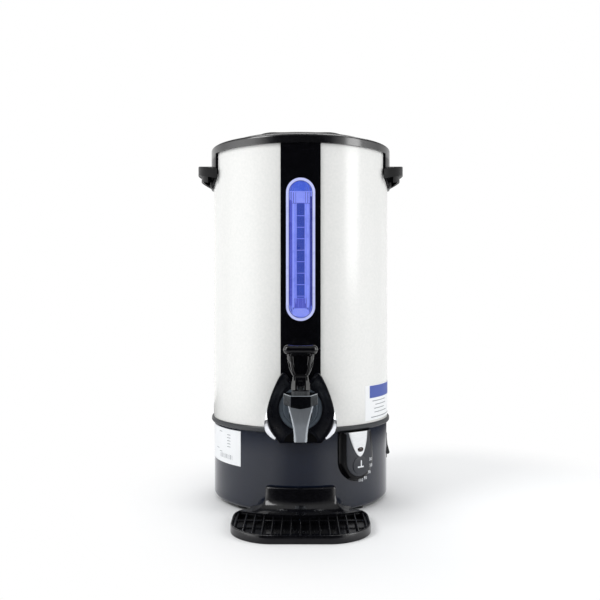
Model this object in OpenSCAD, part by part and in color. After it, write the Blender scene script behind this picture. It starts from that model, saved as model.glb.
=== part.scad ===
// Tabletop coffee urn: painted double-wall body, lit level window, lever tap, heated base, drip tray.
// Millimetres, +Z up, front towards -Y. The origin is the centre of the footprint on the table.

/* [Body] */
// Outer radius of the painted body
body_r = 110; // [98:1:135]
// Thickness of the painted sheet
shell_t = 1; // [0.8:0.1:1.5]
// Height of the base's top flange above the table
base_top = 95; // [86:1:115]
// Height of the painted body between the two rings
body_h = 330; // [290:5:400]
// Height of the rubber feet under the base
foot_h = 4; // [3:0.5:8]
// Width of the black strip down the front
strip_w = 45.6; // [42:0.2:56]
// Thickness of the black strip
strip_t = 2; // [1.5:0.1:3]

/* [Base] */
// How far the base's wall lies inside the painted body
base_inset = 1; // [0.5:0.5:2]
// Wall of the base housing
base_wall = 2.5; // [2:0.1:4]
// Height of the dark ring between base and body
trim_ring_h = 6.5; // [5:0.5:10]
// How far the dark ring stands out past the body
trim_ring_out = 2.4; // [1.5:0.1:3]

/* [Rim and lid] */
// How far the rim stands out past the body
rim_out = 3; // [2.6:0.1:5]
// Height of the rim band
rim_h = 10.5; // [9:0.5:16]
// Rise of the lid's deck above the rim
lid_rise = 7; // [5:0.5:12]
// Distance from the painted body in to the edge of the lid's deck
deck_inset = 25; // [20:1:30]
// Length of the lid's bar handle
lid_bar_l = 134; // [110:1:140]
// Height of the lid's bar handle above the deck
lid_bar_h = 16; // [13:0.5:24]

/* [Side handles] */
// Reach of a side handle past the painted body
handle_out = 20; // [15:1:30]
// Height of a handle's outer wall
handle_h = 11; // [9:0.5:15]
// Drop of the rim's tongue below the rim
tongue_drop = 39.5; // [36:0.5:50]

/* [Tank and heater] */
// Gap between the inner tank and the painted sheet
wall_gap = 12; // [11.5:0.1:20]
// Wall of the inner tank
tank_t = 1; // [0.8:0.1:1.6]
// Rise of the tank's floor above the dark ring
floor_rise = 6.5; // [5:0.5:8]
// Radius of the heater plate
heater_r = 65; // [55:1:72]

/* [Level window] */
// Width of the window's outer frame
window_w = 33; // [29:0.5:38]
// Height of the window's outer frame
window_h = 162; // [130:1:180]
// Distance of the window's centre below the rim
window_drop = 121; // [115:1:125]
// Outer radius of the sight tube
sight_r = 4; // [3:0.1:4.4]

/* [Tap] */
// Distance from the painted body to the tap's stem
tap_reach = 55; // [48:1:66]
// Rise of the tap's shank above the dark ring
tap_rise = 22.5; // [21:0.5:27]
// Drop of the spout's end below the shank
spout_drop = 28; // [26:1:34]
// Radius of the valve stem
stem_r = 2.5; // [2:0.1:3]
// Lift of the valve stem at full flow
stem_lift = 3; // [2:0.5:3.5]
// Full tilt of the lever, in degrees
lever_tilt = 40; // [30:1:45]

/* [Drip tray] */
// Half width of the tray
tray_half_w = 75; // [64:1:90]
// Reach of the tray in front of the base
tray_reach = 97; // [85:1:118]
// Height of the tray's wall
tray_h = 9; // [8.5:0.5:14]
// Spacing of the grate's bars
grate_pitch = 10; // [8:0.5:14]

/* [Controls] */
// Angle of the control panel to the right of the front
panel_angle = 36.5; // [34:0.5:42]
// Half width of the panel's outline
panel_half_w = 25.5; // [22:0.5:27]
// Distance of the dial's centre below the base's top
dial_drop = 39.5; // [36:0.5:42]
// Radius of the dial
dial_r = 10.8; // [9:0.1:13]
// Distance of the rocker switch's pivot below the base's top
rocker_drop = 32; // [28:0.5:36]

/* [Hidden] */
$fn = 96;
clear = 0.3;          // gap round a piece that lifts or slides out
snug = 0.1;           // gap between fixed pieces that nest
run_gap = 0.05;       // radial gap of a shaft or a screw in its bore
past = 30;            // how far a cutting shape runs past what it cuts

// heights worked out from the driving sizes
ring_top = base_top + trim_ring_h;
shell_z0 = base_top + 2.5;             // the painted sheet stands on the ring's floor
rim_z = base_top + body_h;             // underside of the rim band
shell_z1 = rim_z + 2;
rim_top = rim_z + rim_h;
flange_z = rim_z + 4;                  // the rim's ledge, where the tank's flange hangs
flange_t = 1;
gasket_t = 1.5;
lid_z = flange_z + flange_t + gasket_t;
deck_z = rim_top + lid_rise;
tank_floor = ring_top + floor_rise;
window_z = rim_z - window_drop;
tap_z = ring_top + tap_rise;

// radii worked out from the driving sizes
base_r = body_r - base_inset;
base_in = base_r - base_wall;
ring_r = body_r + trim_ring_out;
rim_r = body_r + rim_out;
rim_in = body_r - 4.5;                 // the rim's well, where the lid drops in
ledge_in = body_r - 10;                // inner edge of the rim's ledge
shell_in = body_r - shell_t;
strip_r0 = body_r + 0.05;
strip_r = body_r + strip_t;
lid_r = rim_in - clear;
tank_r = shell_in - wall_gap;
tank_in = tank_r - tank_t;
tray_front = base_r + tray_reach;

// the footprint runs from the tray's front to the rim's back, and the origin lies halfway
axis_y = (tray_front - rim_r) / 2;

// ---------- shared shapes ----------

// points of a cubic curve from a to d, bent towards b and c
function curve(a, b, c, d, n = 10) =
  [for (i = [0 : n]) let (t = i / n, u = 1 - t)
    u * u * u * a + 3 * u * u * t * b + 3 * u * t * t * c + t * t * t * d];

// points of a circular arc
function arc(centre, r, from, to, n = 8) =
  [for (i = [0 : n]) let (a = from + (to - from) * i / n) centre + r * [cos(a), sin(a)]];

// an outline given by its right half, closed by its mirror image
function both_sides(half) =
  concat(half, [for (i = [len(half) - 1 : -1 : 0]) [-half[i][0], half[i][1]]]);

// moves what is drawn round the urn's own axis to its place over the origin
module placed() { translate([0, axis_y, 0]) children(); }

// turns what is drawn at the front round the axis, towards the right
module turned(angle) { rotate([0, 0, angle]) children(); }

// an outline in x and height, pushed along -Y from y0 to y1 in front of the axis
module facing(y0, y1) { translate([0, -y0, 0]) rotate([90, 0, 0]) linear_extrude(y1 - y0) children(); }

// an outline in distance to the front and height, pushed along X from -x1 to x1
module sideways(x1) {
  translate([-x1, 0, 0]) rotate([90, 0, 90]) mirror([1, 0, 0]) linear_extrude(2 * x1) children();
}

module ring(r_in, r_out, z0, z1) {
  difference() {
    translate([0, 0, z0]) cylinder(r = r_out, h = z1 - z0, $fn = 180);
    translate([0, 0, z0 - 1]) cylinder(r = r_in, h = z1 - z0 + 2, $fn = 180);
  }
}

// a round bar between two points
module rod(a, b, r) {
  d = b - a;
  l = norm(d);
  translate(a) rotate([0, acos(d[2] / l), atan2(d[1], d[0])]) cylinder(r = r, h = l, $fn = 24);
}

// a smooth line through points, with n steps between each two
function through(p, n = 5) = concat(
  [for (i = [0 : len(p) - 2]) let (a = p[max(i - 1, 0)], b = p[i], c = p[i + 1], d = p[min(i + 2, len(p) - 1)])
    for (k = [0 : n - 1]) let (t = k / n)
      b + 0.5 * t * (c - a) + t * t * (a - 2.5 * b + 2 * c - 0.5 * d)
        + t * t * t * (1.5 * b - 0.5 * a - 1.5 * c + 0.5 * d)],
  [p[len(p) - 1]]);

// round wire along a path: each ring stands square to the path, turned by a fixed reference direction
module sweep(path, r, ref = [0.8, 0.2, -0.6]) {
  sides = 8;
  n = len(path) - 1;
  points = [for (i = [0 : n])
    let (t = path[min(i + 1, n)] - path[max(i - 1, 0)], u = cross(t, ref), v = cross(t, u))
    for (k = [0 : sides - 1]) let (b = 360 * k / sides)
      path[i] + r * (cos(b) * u / norm(u) + sin(b) * v / norm(v))];
  faces = concat(
    [[for (k = [0 : sides - 1]) k]],
    [for (i = [0 : n - 1]) for (k = [0 : sides - 1]) let (m = (k + 1) % sides)
      each [[i * sides + k, (i + 1) * sides + k, (i + 1) * sides + m],
            [i * sides + k, (i + 1) * sides + m, i * sides + m]]],
    [[for (k = [sides - 1 : -1 : 0]) n * sides + k]]);
  polyhedron(points = points, faces = faces, convexity = 10);
}

module wire(points, r) { sweep(through(points), r); }

module stadium(w, h) {
  translate([0, -(h - w) / 2]) circle(d = w);
  translate([0, (h - w) / 2]) circle(d = w);
  square([w, h - w], center = true);
}

// ---------- base ----------

foot_angles = [45, 135, 225, 315];
foot_ring_r = base_in - 12;
foot_r = 8.5;
plate_z = foot_h + 2.5;
plate_t = 2;
plate_r = base_in - 3;
post_r = 5;
post_h = 20;                           // screw posts, each tied to the wall by a rib
rib_t = 3;
foot_screw_r = 1.6;
flange_in = base_in - 12.5;            // inner edge of the base's top flange
base_flange_t = 2.5;

module base_wall_profile() {
  corner = 5;
  polygon(concat(
    arc([base_r - corner, foot_h + corner], corner, -90, 0),
    [[base_r, base_top], [flange_in, base_top], [flange_in, base_top - base_flange_t],
     [base_in, base_top - base_flange_t], [base_in, plate_z + plate_t + 2], [plate_r, plate_z + plate_t],
     [plate_r, foot_h]]));
}

module base_housing() {
  placed() color("#23272f") difference() {
    union() {
      rotate_extrude($fn = 180) base_wall_profile();
      for (a = foot_angles) turned(a) translate([0, 0, plate_z + plate_t]) {
        translate([0, -foot_ring_r, 0]) cylinder(r = post_r, h = post_h);
        translate([-rib_t / 2, -base_in - 1, 0]) cube([rib_t, base_in + 1 - foot_ring_r, post_h]);
      }
      turned(180) facing(base_in - 4, inlet_pad_y) translate([0, inlet_z])
        square([inlet_pad_w, inlet_pad_h], center = true);
      turned(90) facing(rocker_flat - 3, rocker_flat + 0.5) translate([0, rocker_z])
        square([frame_w + 6, frame_l + 6], center = true);
    }
    for (a = foot_angles) turned(a) translate([0, -foot_ring_r, 0]) cylinder(r = foot_screw_r, h = 30);
    turned(180) facing(base_in - past, base_r + past) translate([0, inlet_z]) {
      square([inlet_w + 0.4, inlet_h + 0.4], center = true);
      for (s = [-1, 1]) translate([s * inlet_screw_gap / 2, 0]) circle(r = inlet_screw_r);
    }
    turned(90) facing(rocker_flat, base_r + past) translate([0, rocker_z])
      square([frame_w + 0.4, frame_l + 0.4], center = true);
    turned(90) facing(base_in - past, base_r + past) translate([0, rocker_z])
      square([frame_body_w + 0.4, frame_body_l + 0.4], center = true);
    turned(panel_angle) facing(base_in - past, base_r + past) {
      translate([0, dial_z]) circle(r = bush_r + snug);
      translate([0, lamp_z]) circle(r = lamp_r + snug);
    }
  }
}

module base_plate() {
  vent_pitch = 12;
  placed() color("#2b2f36") difference() {
    translate([0, 0, plate_z]) cylinder(r = plate_r - snug, h = plate_t, $fn = 180);
    for (a = foot_angles) turned(a) translate([0, -foot_ring_r, 0]) cylinder(r = foot_screw_r + run_gap, h = 30);
    for (i = [-3 : 3]) translate([i * vent_pitch - 2, 20, 0]) cube([4, 44, 30]);
  }
}

module rubber_feet() {
  placed() color("#16181b") for (a = foot_angles) turned(a) translate([0, -foot_ring_r, 0]) difference() {
    cylinder(r1 = foot_r - 1.2, r2 = foot_r, h = plate_z);
    translate([0, 0, -1]) cylinder(r = 4.2, h = 3.6);
    translate([0, 0, -1]) cylinder(r = foot_screw_r + run_gap, h = 20);
  }
}

module foot_screws() {
  placed() color("silver") for (a = foot_angles) turned(a) translate([0, -foot_ring_r, 1.2]) {
    cylinder(r = 3.4, h = 1.4);
    cylinder(r = foot_screw_r - run_gap, h = 22);
  }
}

module trim_ring() {
  placed() color("#33373d") rotate_extrude($fn = 180) polygon([
    [ledge_in, base_top], [base_r + 0.4, base_top], [ring_r - 0.8, base_top + 0.8], [ring_r, base_top + 2],
    [ring_r, ring_top - 1.6], [ring_r - 0.9, ring_top - 0.3], [body_r + 0.3, ring_top],
    [body_r + snug, shell_z0], [ledge_in, shell_z0]]);
}

// the outside of base, ring and body, grown a little, cut away from what hugs them
module body_cut(gap, r_body) {
  rotate_extrude($fn = 180) polygon([
    [0, 0], [base_r + gap, 0], [base_r + gap, base_top - gap], [ring_r + gap, base_top - gap],
    [ring_r + gap, ring_top + gap], [r_body + gap, ring_top + gap], [r_body + gap, rim_z], [0, rim_z]]);
}

// ---------- painted body, strip and level window ----------

shank_r = 8.9;
tap_hole_r = shank_r + 0.6;
slot_w = window_w - 9;
slot_h = window_h - 9;

module front_cuts() {
  facing(body_r - past, body_r + past) {
    translate([0, window_z]) stadium(slot_w, slot_h);
    translate([0, tap_z]) circle(r = tap_hole_r);
  }
}

module handle_bores(r) {
  for (side = [-90, 90]) turned(side) facing(body_r - 12, body_r + handle_out - 4)
    for (s = [-1, 1]) translate([s * handle_screw_gap / 2, handle_screw_z]) circle(r = r);
}

module outer_shell() {
  placed() color("#f2f3f4") difference() {
    ring(shell_in, body_r, shell_z0, shell_z1);
    front_cuts();
    handle_bores(handle_screw_r + run_gap);
  }
}

module front_strip() {
  placed() color("#08090b") difference() {
    intersection() {
      ring(strip_r0, strip_r, ring_top + snug, rim_z - snug);
      facing(body_r - past, body_r + past) translate([-strip_w / 2, 0]) square([strip_w, rim_z]);
    }
    front_cuts();
  }
}

frame_r = strip_r + 1.5;      // front of the window frame
pane_gap = 0.02;

module window_band(w, h, r_in, r_out) {
  intersection() {
    ring(r_in, r_out, window_z - h / 2 - 1, window_z + h / 2 + 1);
    facing(body_r - past, body_r + past) translate([0, window_z]) stadium(w, h);
  }
}

module window_frame() {
  placed() color("#c9c8f4") difference() {
    window_band(window_w, window_h, strip_r + pane_gap, frame_r);
    facing(body_r - past, body_r + past) translate([0, window_z]) stadium(window_w - 6, window_h - 6);
  }
}

// the clear cover lies inside the frame, on the strip's edge round the slot
module window_lens() {
  placed() color("#b9c4f6", 0.35)
    window_band(window_w - 6 - 2 * snug, window_h - 6 - 2 * snug, strip_r + pane_gap, frame_r - 0.2);
}

scale_pitch = 13;
scale_marks = 7;
scale_gap_w = 7.6;

// lit plate with a central slot over the sight tube, and thin marks across the slot
module scale_plate() {
  mark_t = 0.8;
  z0 = window_z - scale_pitch * (scale_marks + 1) / 2 + 2;
  placed() color("#8f93ee") difference() {
    window_band(slot_w - 0.4, slot_h - 0.4, shell_in - 1.4, strip_r - 0.6);
    facing(body_r - past, body_r + past) for (i = [0 : scale_marks])
      translate([-scale_gap_w / 2, z0 + i * scale_pitch + mark_t / 2]) square([scale_gap_w, scale_pitch - mark_t]);
  }
}

sight_axis_r = (tank_r + shell_in) / 2 + snug;   // the tube stands between tank and shell
sight_z0 = window_z - window_h / 2 - 12;
sight_z1 = window_z + window_h / 2 + 8;
elbow_r = sight_r + 1.3;
elbow_reach = 8;
nipple_r = 3.4;
nipple_rise = 4;

module sight_tube() {
  placed() color("#d8e4f4", 0.4) translate([0, -sight_axis_r, 0]) difference() {
    translate([0, 0, sight_z0]) cylinder(r = sight_r, h = sight_z1 - sight_z0);
    translate([0, 0, sight_z0 - 1]) cylinder(r = sight_r - 1, h = sight_z1 - sight_z0 + 2);
  }
}

// silicone elbow at one end of the sight tube: side -1 is the lower one, side 1 the upper
module tube_elbow(side) {
  z = side < 0 ? sight_z0 : sight_z1;
  translate([0, -sight_axis_r, 0]) difference() {
    union() {
      translate([0, 0, z - elbow_reach]) cylinder(r = elbow_r, h = 2 * elbow_reach);
      translate([0, 0, z + side * nipple_rise]) rotate([-90, 0, 0])
        cylinder(r = nipple_r, h = sight_axis_r - tank_in + 3);
    }
    translate([0, 0, side < 0 ? z : z - elbow_reach - 1]) cylinder(r = sight_r + pane_gap, h = elbow_reach + 1);
    translate([0, 0, side < 0 ? z - 7 : z - 1]) cylinder(r = 2.2, h = 8);
    translate([0, 0, z + side * nipple_rise]) rotate([-90, 0, 0]) cylinder(r = 2, h = past);
  }
}

module tube_elbows() {
  placed() color("#dcdcd6") for (side = [-1, 1]) tube_elbow(side);
}

module light_reflector() {
  placed() color("#4a5fe0") intersection() {
    ring(tank_r + snug, tank_r + 0.9, window_z - window_h / 2 + 6, window_z + window_h / 2 - 6);
    facing(tank_r - past, body_r) translate([-window_w * 0.4, 0]) square([window_w * 0.8, rim_z]);
  }
}

module led_boards() {
  led_count = 7;
  board_x = elbow_r + 3.6;
  board_h = window_h - 16;
  for (s = [-1, 1]) {
    placed() color("#1d5e3a") translate([s * board_x - 0.5, -shell_in + 3, window_z - board_h / 2])
      cube([1, shell_in - 3 - tank_r - 1, board_h]);
    placed() color("white") for (i = [0 : led_count - 1])
      translate([s * (board_x - 1) - 0.5, -shell_in + 4.5, window_z - board_h / 2 + 4 + i * board_h / led_count])
        cube([1, 3, 4]);
  }
}

// ---------- rim, side handles and lid ----------

handle_reach = body_r + handle_out;
handle_mid_z = rim_z - 10.4;   // top of a side handle at its middle
handle_half_l = 51;
handle_drop = 9;               // how much lower its ends lie than its middle
handle_lip_h = 8;              // the grip under the ledge
handle_lip_in = 4;             // how far the grip is set back from the ledge's edge
handle_lip_half = 34;
handle_screw_gap = 30;
handle_screw_z = handle_mid_z - 5;
handle_screw_r = 1.8;
tongue_half_w = 45;
shield_r0 = rim_r + snug;
shield_r = rim_r + 2;

// tongue outline: straight sides, then a half ellipse
function tongue_half(half_w, z_top, z_shoulder, z_tip) =
  concat([[half_w, z_top]],
         [for (i = [0 : 12]) let (a = i * 7.5) [half_w * cos(a), z_shoulder - (z_shoulder - z_tip) * sin(a)]]);

module top_rim() {
  placed() color("#17191d") difference() {
    union() {
      rotate_extrude($fn = 180) polygon(concat(
        [[ledge_in, rim_z + 1.5], [shell_in - snug, rim_z + 1.5], [shell_in - snug, shell_z1 + snug],
         [body_r + snug, shell_z1 + snug], [body_r + snug, rim_z], [rim_r, rim_z]],
        arc([rim_r - 3, rim_top - 3], 3, 0, 90),
        [[rim_in + 1, rim_top], [rim_in, rim_top - 1], [rim_in, flange_z], [ledge_in, flange_z]]));
      for (side = [-90, 90]) turned(side) intersection() {
        ring(body_r + snug, rim_r, rim_z - tongue_drop - 1, rim_z + 1);
        facing(body_r - past, rim_r + past)
          polygon(both_sides(tongue_half(tongue_half_w, rim_z + 1, rim_z - 22, rim_z - tongue_drop)));
      }
    }
    handle_bores(handle_screw_r + run_gap);
  }
}

// the handle's plan is a circle through its middle and both its ends: distance of its centre
function handle_centre() =
  let (end_y = sqrt(pow(shield_r0, 2) - pow(handle_half_l, 2)))
  (pow(handle_reach, 2) - pow(end_y, 2) - pow(handle_half_l, 2)) / (2 * (handle_reach - end_y));

// plan of the handle, less its inset, clear of the given radius round the urn
module crescent(inset, r_clear) {
  c = handle_centre();
  translate([0, 0, handle_mid_z - 60]) linear_extrude(80) difference() {
    translate([0, -c]) circle(r = handle_reach - c - inset, $fn = 180);
    circle(r = r_clear, $fn = 180);
  }
}

// arched band between two depths below the handle's top, wide enough for all its length
module arched(top, bottom, half_l) {
  arch_r = (pow(handle_half_l, 2) + pow(handle_drop, 2)) / (2 * handle_drop);
  facing(body_r - past, handle_reach + past) intersection() {
    translate([0, handle_mid_z - arch_r]) difference() {
      circle(r = arch_r - top, $fn = 180);
      circle(r = arch_r - bottom, $fn = 180);
    }
    translate([-half_l, handle_mid_z - 60]) square([2 * half_l, 80]);
  }
}

// drawn at the front, then turned to its side
module side_handle(side) {
  placed() turned(side) color("#141518") difference() {
    union() {
      intersection() {
        crescent(0, shield_r0);
        arched(0, handle_h, handle_half_l);
      }
      intersection() {
        crescent(handle_lip_in, shield_r0);
        arched(handle_h - 1, handle_h + handle_lip_h, handle_lip_half);
      }
      intersection() {
        ring(shield_r0, shield_r, rim_z - tongue_drop, handle_mid_z - 2);
        facing(body_r - past, rim_r + past)
          polygon(both_sides(tongue_half(40, handle_mid_z - 6, rim_z - 24, rim_z - tongue_drop + 2.9)));
      }
    }
    intersection() {
      crescent(handle_lip_in + 3, shield_r);
      arched(handle_h, handle_h + handle_lip_h + past, handle_lip_half - 4);
    }
    rotate([0, 0, -side]) handle_bores(handle_screw_r + run_gap);
  }
}

module handle_left() { side_handle(-90); }
module handle_right() { side_handle(90); }

// driven from inside the painted sheet out into each handle
module handle_screws() {
  head_h = 2;
  placed() color("silver") for (side = [-90, 90]) turned(side)
    for (s = [-1, 1]) translate([s * handle_screw_gap / 2, 0, handle_screw_z]) {
      y_head = sqrt(pow(shell_in, 2) - pow(handle_screw_gap / 2 + 3.5, 2));
      translate([0, -y_head, 0]) rotate([-90, 0, 0]) cylinder(r = 3.5, h = head_h);
      translate([0, -y_head, 0]) rotate([90, 0, 0]) cylinder(r = handle_screw_r, h = handle_out - 6);
    }
}

lid_t = 2.5;
lid_deck_r = body_r - deck_inset;
dish_r = 46;
dish_depth = 8;
skirt_r = tank_in - 1.5;
bar_half = lid_bar_l / 2;
bar_top = deck_z + lid_bar_h;
bar_w = 24;
bar_foot_x = bar_half - 8;
lid_screw_r = 2;

module lid_panel() {
  dish = curve([dish_r, deck_z], [dish_r - 5, deck_z], [dish_r - 5, deck_z - dish_depth],
               [dish_r - 10, deck_z - dish_depth], 8);
  placed() color("#0d0e10") difference() {
    rotate_extrude($fn = 180) polygon(concat(
      curve([lid_r, lid_z + 3], [lid_r - 6, lid_z + 5.5], [lid_deck_r + 8, deck_z - 0.2], [lid_deck_r, deck_z]),
      dish,
      [[0, deck_z - dish_depth], [0, deck_z - dish_depth - lid_t]],
      [for (i = [len(dish) - 1 : -1 : 0]) dish[i] + [1.2, -lid_t]],
      [[lid_deck_r - 2, deck_z - lid_t], [skirt_r - 2, lid_z + 4.5], [skirt_r - 2, flange_z - 5],
       [skirt_r, flange_z - 5], [skirt_r, lid_z], [lid_r, lid_z]]));
    for (s = [-1, 1]) translate([s * bar_foot_x, 0, deck_z - past]) cylinder(r = lid_screw_r + run_gap, h = 2 * past);
  }
}

module lid_gasket() {
  placed() color("#e4e2dc") ring(skirt_r + snug, lid_r - 1, flange_z + flange_t + snug, lid_z);
}

module lid_handle() {
  placed() color("#0b0c0e") difference() {
    facing(-bar_w / 2, bar_w / 2) difference() {
      polygon(both_sides(concat([[bar_half - 18, bar_top]],
        curve([bar_half - 16, bar_top], [bar_half - 6, bar_top],
              [bar_half - 1, bar_top - 6], [bar_half, deck_z], 8))));
      polygon(both_sides(concat([[bar_half - 26, bar_top - 7.5]],
        curve([bar_half - 25, bar_top - 7.5], [bar_half - 19, bar_top - 7.5],
              [bar_half - 17, deck_z + 4], [bar_half - 16.5, deck_z - 1], 8))));
    }
    for (s = [-1, 1]) translate([s * bar_foot_x, 0, deck_z - 1]) cylinder(r = lid_screw_r + run_gap, h = 9);
  }
}

module lid_screws() {
  placed() color("silver") for (s = [-1, 1]) translate([s * bar_foot_x, 0, deck_z - lid_t]) {
    translate([0, 0, -2]) cylinder(r = 4, h = 2);
    cylinder(r = lid_screw_r, h = 9);
  }
}

// ---------- tank, heater and what holds them ----------

heater_t = 3;
element_r = 46;
element_tube_r = 3.5;
element_span = 320;
bar_t = 3;
bolt_r = 3;

module inner_tank() {
  placed() color("#cfd2d4") difference() {
    rotate_extrude($fn = 180) polygon([
      [0, tank_floor], [tank_r, tank_floor], [tank_r, flange_z], [rim_in - 0.5, flange_z],
      [rim_in - 0.5, flange_z + flange_t], [tank_in, flange_z + flange_t], [tank_in, tank_floor + tank_t],
      [0, tank_floor + tank_t]]);
    facing(tank_in - past, tank_r + 5) {
      translate([0, tap_z]) circle(r = shank_r + snug);
      for (z = [sight_z0 - nipple_rise, sight_z1 + nipple_rise]) translate([0, z]) circle(r = nipple_r + run_gap);
    }
  }
}

module heater_plate() {
  placed() color("#b8bcc0") translate([0, 0, tank_floor - heater_t]) cylinder(r = heater_r, h = heater_t);
}

// tubular ring under the plate, with its two cold ends turned down at the back
module heater_element() {
  z = tank_floor - heater_t - element_tube_r;
  start = 90 + (360 - element_span) / 2;
  placed() color("#8d9094") {
    rotate([0, 0, start]) rotate_extrude(angle = element_span) translate([element_r, z]) circle(r = element_tube_r);
    for (a = [start, start + element_span]) rotate([0, 0, a]) translate([element_r, 0, z]) {
      sphere(r = element_tube_r);
      translate([0, 0, -14]) cylinder(r = element_tube_r, h = 14);
      translate([0, 0, -22]) cylinder(r = 1.5, h = 8);
    }
  }
}

module thermal_cutout() {
  placed() color("#3a3330") translate([22, -22, tank_floor - heater_t]) {
    translate([0, 0, -8]) cylinder(r = 8, h = 8);
    for (s = [-1, 1]) translate([s * 6 - 0.4, -3, -14]) cube([0.8, 6, 6]);
  }
}

module tie_bar() {
  placed() color("#9a9da0") difference() {
    translate([-base_in + 1, -12, base_top - base_flange_t - bar_t]) cube([2 * (base_in - 1), 24, bar_t]);
    translate([0, 0, base_top - past]) cylinder(r = bolt_r + 0.3, h = 2 * past);
    difference() {
      translate([0, 0, base_top - past]) cylinder(r = 2 * body_r, h = 2 * past);
      translate([0, 0, base_top - 2 * past]) cylinder(r = base_in - 1, h = 4 * past);
    }
  }
}

module tie_bolt() {
  bar_z = base_top - base_flange_t - bar_t;
  placed() color("silver") {
    translate([0, 0, bar_z - 12]) cylinder(r = bolt_r, h = tank_floor - heater_t - bar_z + 12);
    translate([0, 0, bar_z - 5]) cylinder(r = 5.8, h = 5, $fn = 6);
  }
}

// ---------- controls in the base ----------

panel_out = 7;                // how far the panel stands out past the base
panel_r = base_r + panel_out;
panel_z0 = base_top - 58.8;
dial_z = base_top - dial_drop;
lamp_z = dial_z + 18.4;
lamp_r = 2.6;
shaft_r = 3;
bush_r = 4.9;
dial_seat = panel_r - 1.4;    // flat seat for the dial on the curved panel
dial_face = panel_r + 1.6;
plate_half_w = 13.8;
plate_tip_z = base_top - 29.7;
plate_top_z = base_top - 2;

// the silver plate: straight top, sides that draw together as a parabola
function plate_half() =
  [for (i = [0 : 10]) let (t = 1 - i / 10) [plate_half_w * t, plate_tip_z + (plate_top_z - plate_tip_z) * t * t]];

module panel_outline(shrink) {
  polygon(both_sides(tongue_half(panel_half_w - shrink, base_top - snug, base_top - 33,
                                 panel_z0 + shrink)));
}

module control_panel() {
  placed() turned(panel_angle) color("#1c1f25") difference() {
    union() {
      intersection() {
        ring(base_r + snug, panel_r - 2.5, panel_z0 - 1, base_top);
        facing(base_r - past, panel_r + past) panel_outline(0);
      }
      intersection() {
        ring(base_r + snug, panel_r, panel_z0 - 1, base_top);
        facing(base_r - past, panel_r + past) panel_outline(2.5);
      }
    }
    intersection() {
      ring(base_r - 5, panel_r - 3.4, panel_z0 - 1, base_top - 3);
      facing(base_r - past, panel_r + past) panel_outline(4.5);
    }
    facing(base_r - past, panel_r + past) {
      translate([0, dial_z]) circle(r = shaft_r + 0.5);
      translate([0, lamp_z]) circle(r = lamp_r + snug);
    }
    facing(dial_seat, panel_r + past) translate([0, dial_z]) circle(r = dial_r + clear);
  }
}

module panel_plate() {
  placed() turned(panel_angle) color("#d4d6d8") intersection() {
    ring(panel_r + pane_gap, panel_r + 0.5, plate_tip_z - 1, base_top);
    facing(base_r - past, panel_r + past) difference() {
      polygon(both_sides(plate_half()));
      translate([0, lamp_z]) circle(r = lamp_r + snug);
      translate([0, dial_z]) circle(r = dial_r + clear);
    }
  }
}

module indicator_lamp() {
  placed() turned(panel_angle) color("#2a1512") translate([0, 0, lamp_z]) {
    facing(base_in - 14, panel_r + 0.6) circle(r = lamp_r);
    facing(base_in - 10, base_in - 2) circle(r = lamp_r + 1.6);
  }
}

module thermostat_body() {
  placed() turned(panel_angle) color("#6e7276") difference() {
    union() {
      facing(base_in - 22, base_in - 3) translate([0, dial_z]) square([34, 27], center = true);
      facing(base_in - 5, base_r + 2) translate([0, dial_z]) circle(r = bush_r);
      for (s = [-1, 1]) facing(base_in - 28, base_in - 21) translate([s * 9, dial_z + 12])
        square([6, 0.8], center = true);
    }
    facing(base_in - 12, base_r + past) translate([0, dial_z]) circle(r = shaft_r + run_gap);
  }
}

module thermostat_shaft() {
  placed() turned(panel_angle) color("silver") facing(base_in - 11.5, dial_face - 1.5)
    translate([0, dial_z]) circle(r = shaft_r);
}

module thermostat_knob() {
  placed() turned(panel_angle) color("#202329") difference() {
    union() {
      facing(dial_seat + clear, dial_face) translate([0, dial_z]) circle(r = dial_r);
      facing(dial_face - 1, dial_face + 2) translate([-1.6, dial_z - 4.5]) square([3.2, dial_r + 2.5]);
    }
    facing(dial_seat - 5, dial_face - 1.4) translate([0, dial_z]) circle(r = shaft_r + run_gap);
  }
}

// feeler bulb of the thermostat, pressed against the plate, and its thin tube
module thermostat_bulb() {
  z = tank_floor - heater_t - 3;
  start = [sin(panel_angle), -cos(panel_angle), 0] * (base_in - 24) + [6, 8, dial_z];
  placed() color("#b87333") {
    rod([57, -24, z], [57, 16, z], 2.9);
    wire([[57, -24.1, z], [57, -30, z], [59, -40, z - 10], [60, -48, dial_z + 14], start], 0.9);
  }
}

rocker_z = base_top - rocker_drop;
rocker_w = 16;                // width of the rocker, across the urn's side
rocker_l = 25;                // its length, up the side
rocker_tilt = 10;             // it rests tilted this far, lower end out
rocker_pin_r = 1.2;
rocker_flat = base_r - 2;     // the flat that the switch frame lies on
rocker_pin_u = rocker_flat - 1;
frame_w = 22;
frame_l = 31;
frame_body_w = 19;
frame_body_l = 28;
frame_depth = 17;

module switch_frame() {
  placed() turned(90) color("#141619") difference() {
    union() {
      facing(rocker_flat, rocker_flat + 2) translate([0, rocker_z]) square([frame_w, frame_l], center = true);
      facing(rocker_flat - frame_depth, rocker_flat) translate([0, rocker_z])
        square([frame_body_w, frame_body_l], center = true);
      for (s = [-1, 0, 1]) facing(rocker_flat - frame_depth - 7, rocker_flat - frame_depth)
        translate([0, rocker_z + s * 8]) square([6, 0.8], center = true);
    }
    facing(rocker_flat - frame_depth + 3, rocker_flat + past) translate([0, rocker_z])
      square([rocker_w + 2 * clear, rocker_l + 2 * clear + 0.6], center = true);
    translate([-past, -rocker_pin_u, rocker_z]) rotate([0, 90, 0]) cylinder(r = rocker_pin_r + run_gap, h = 2 * past);
  }
}

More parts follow.
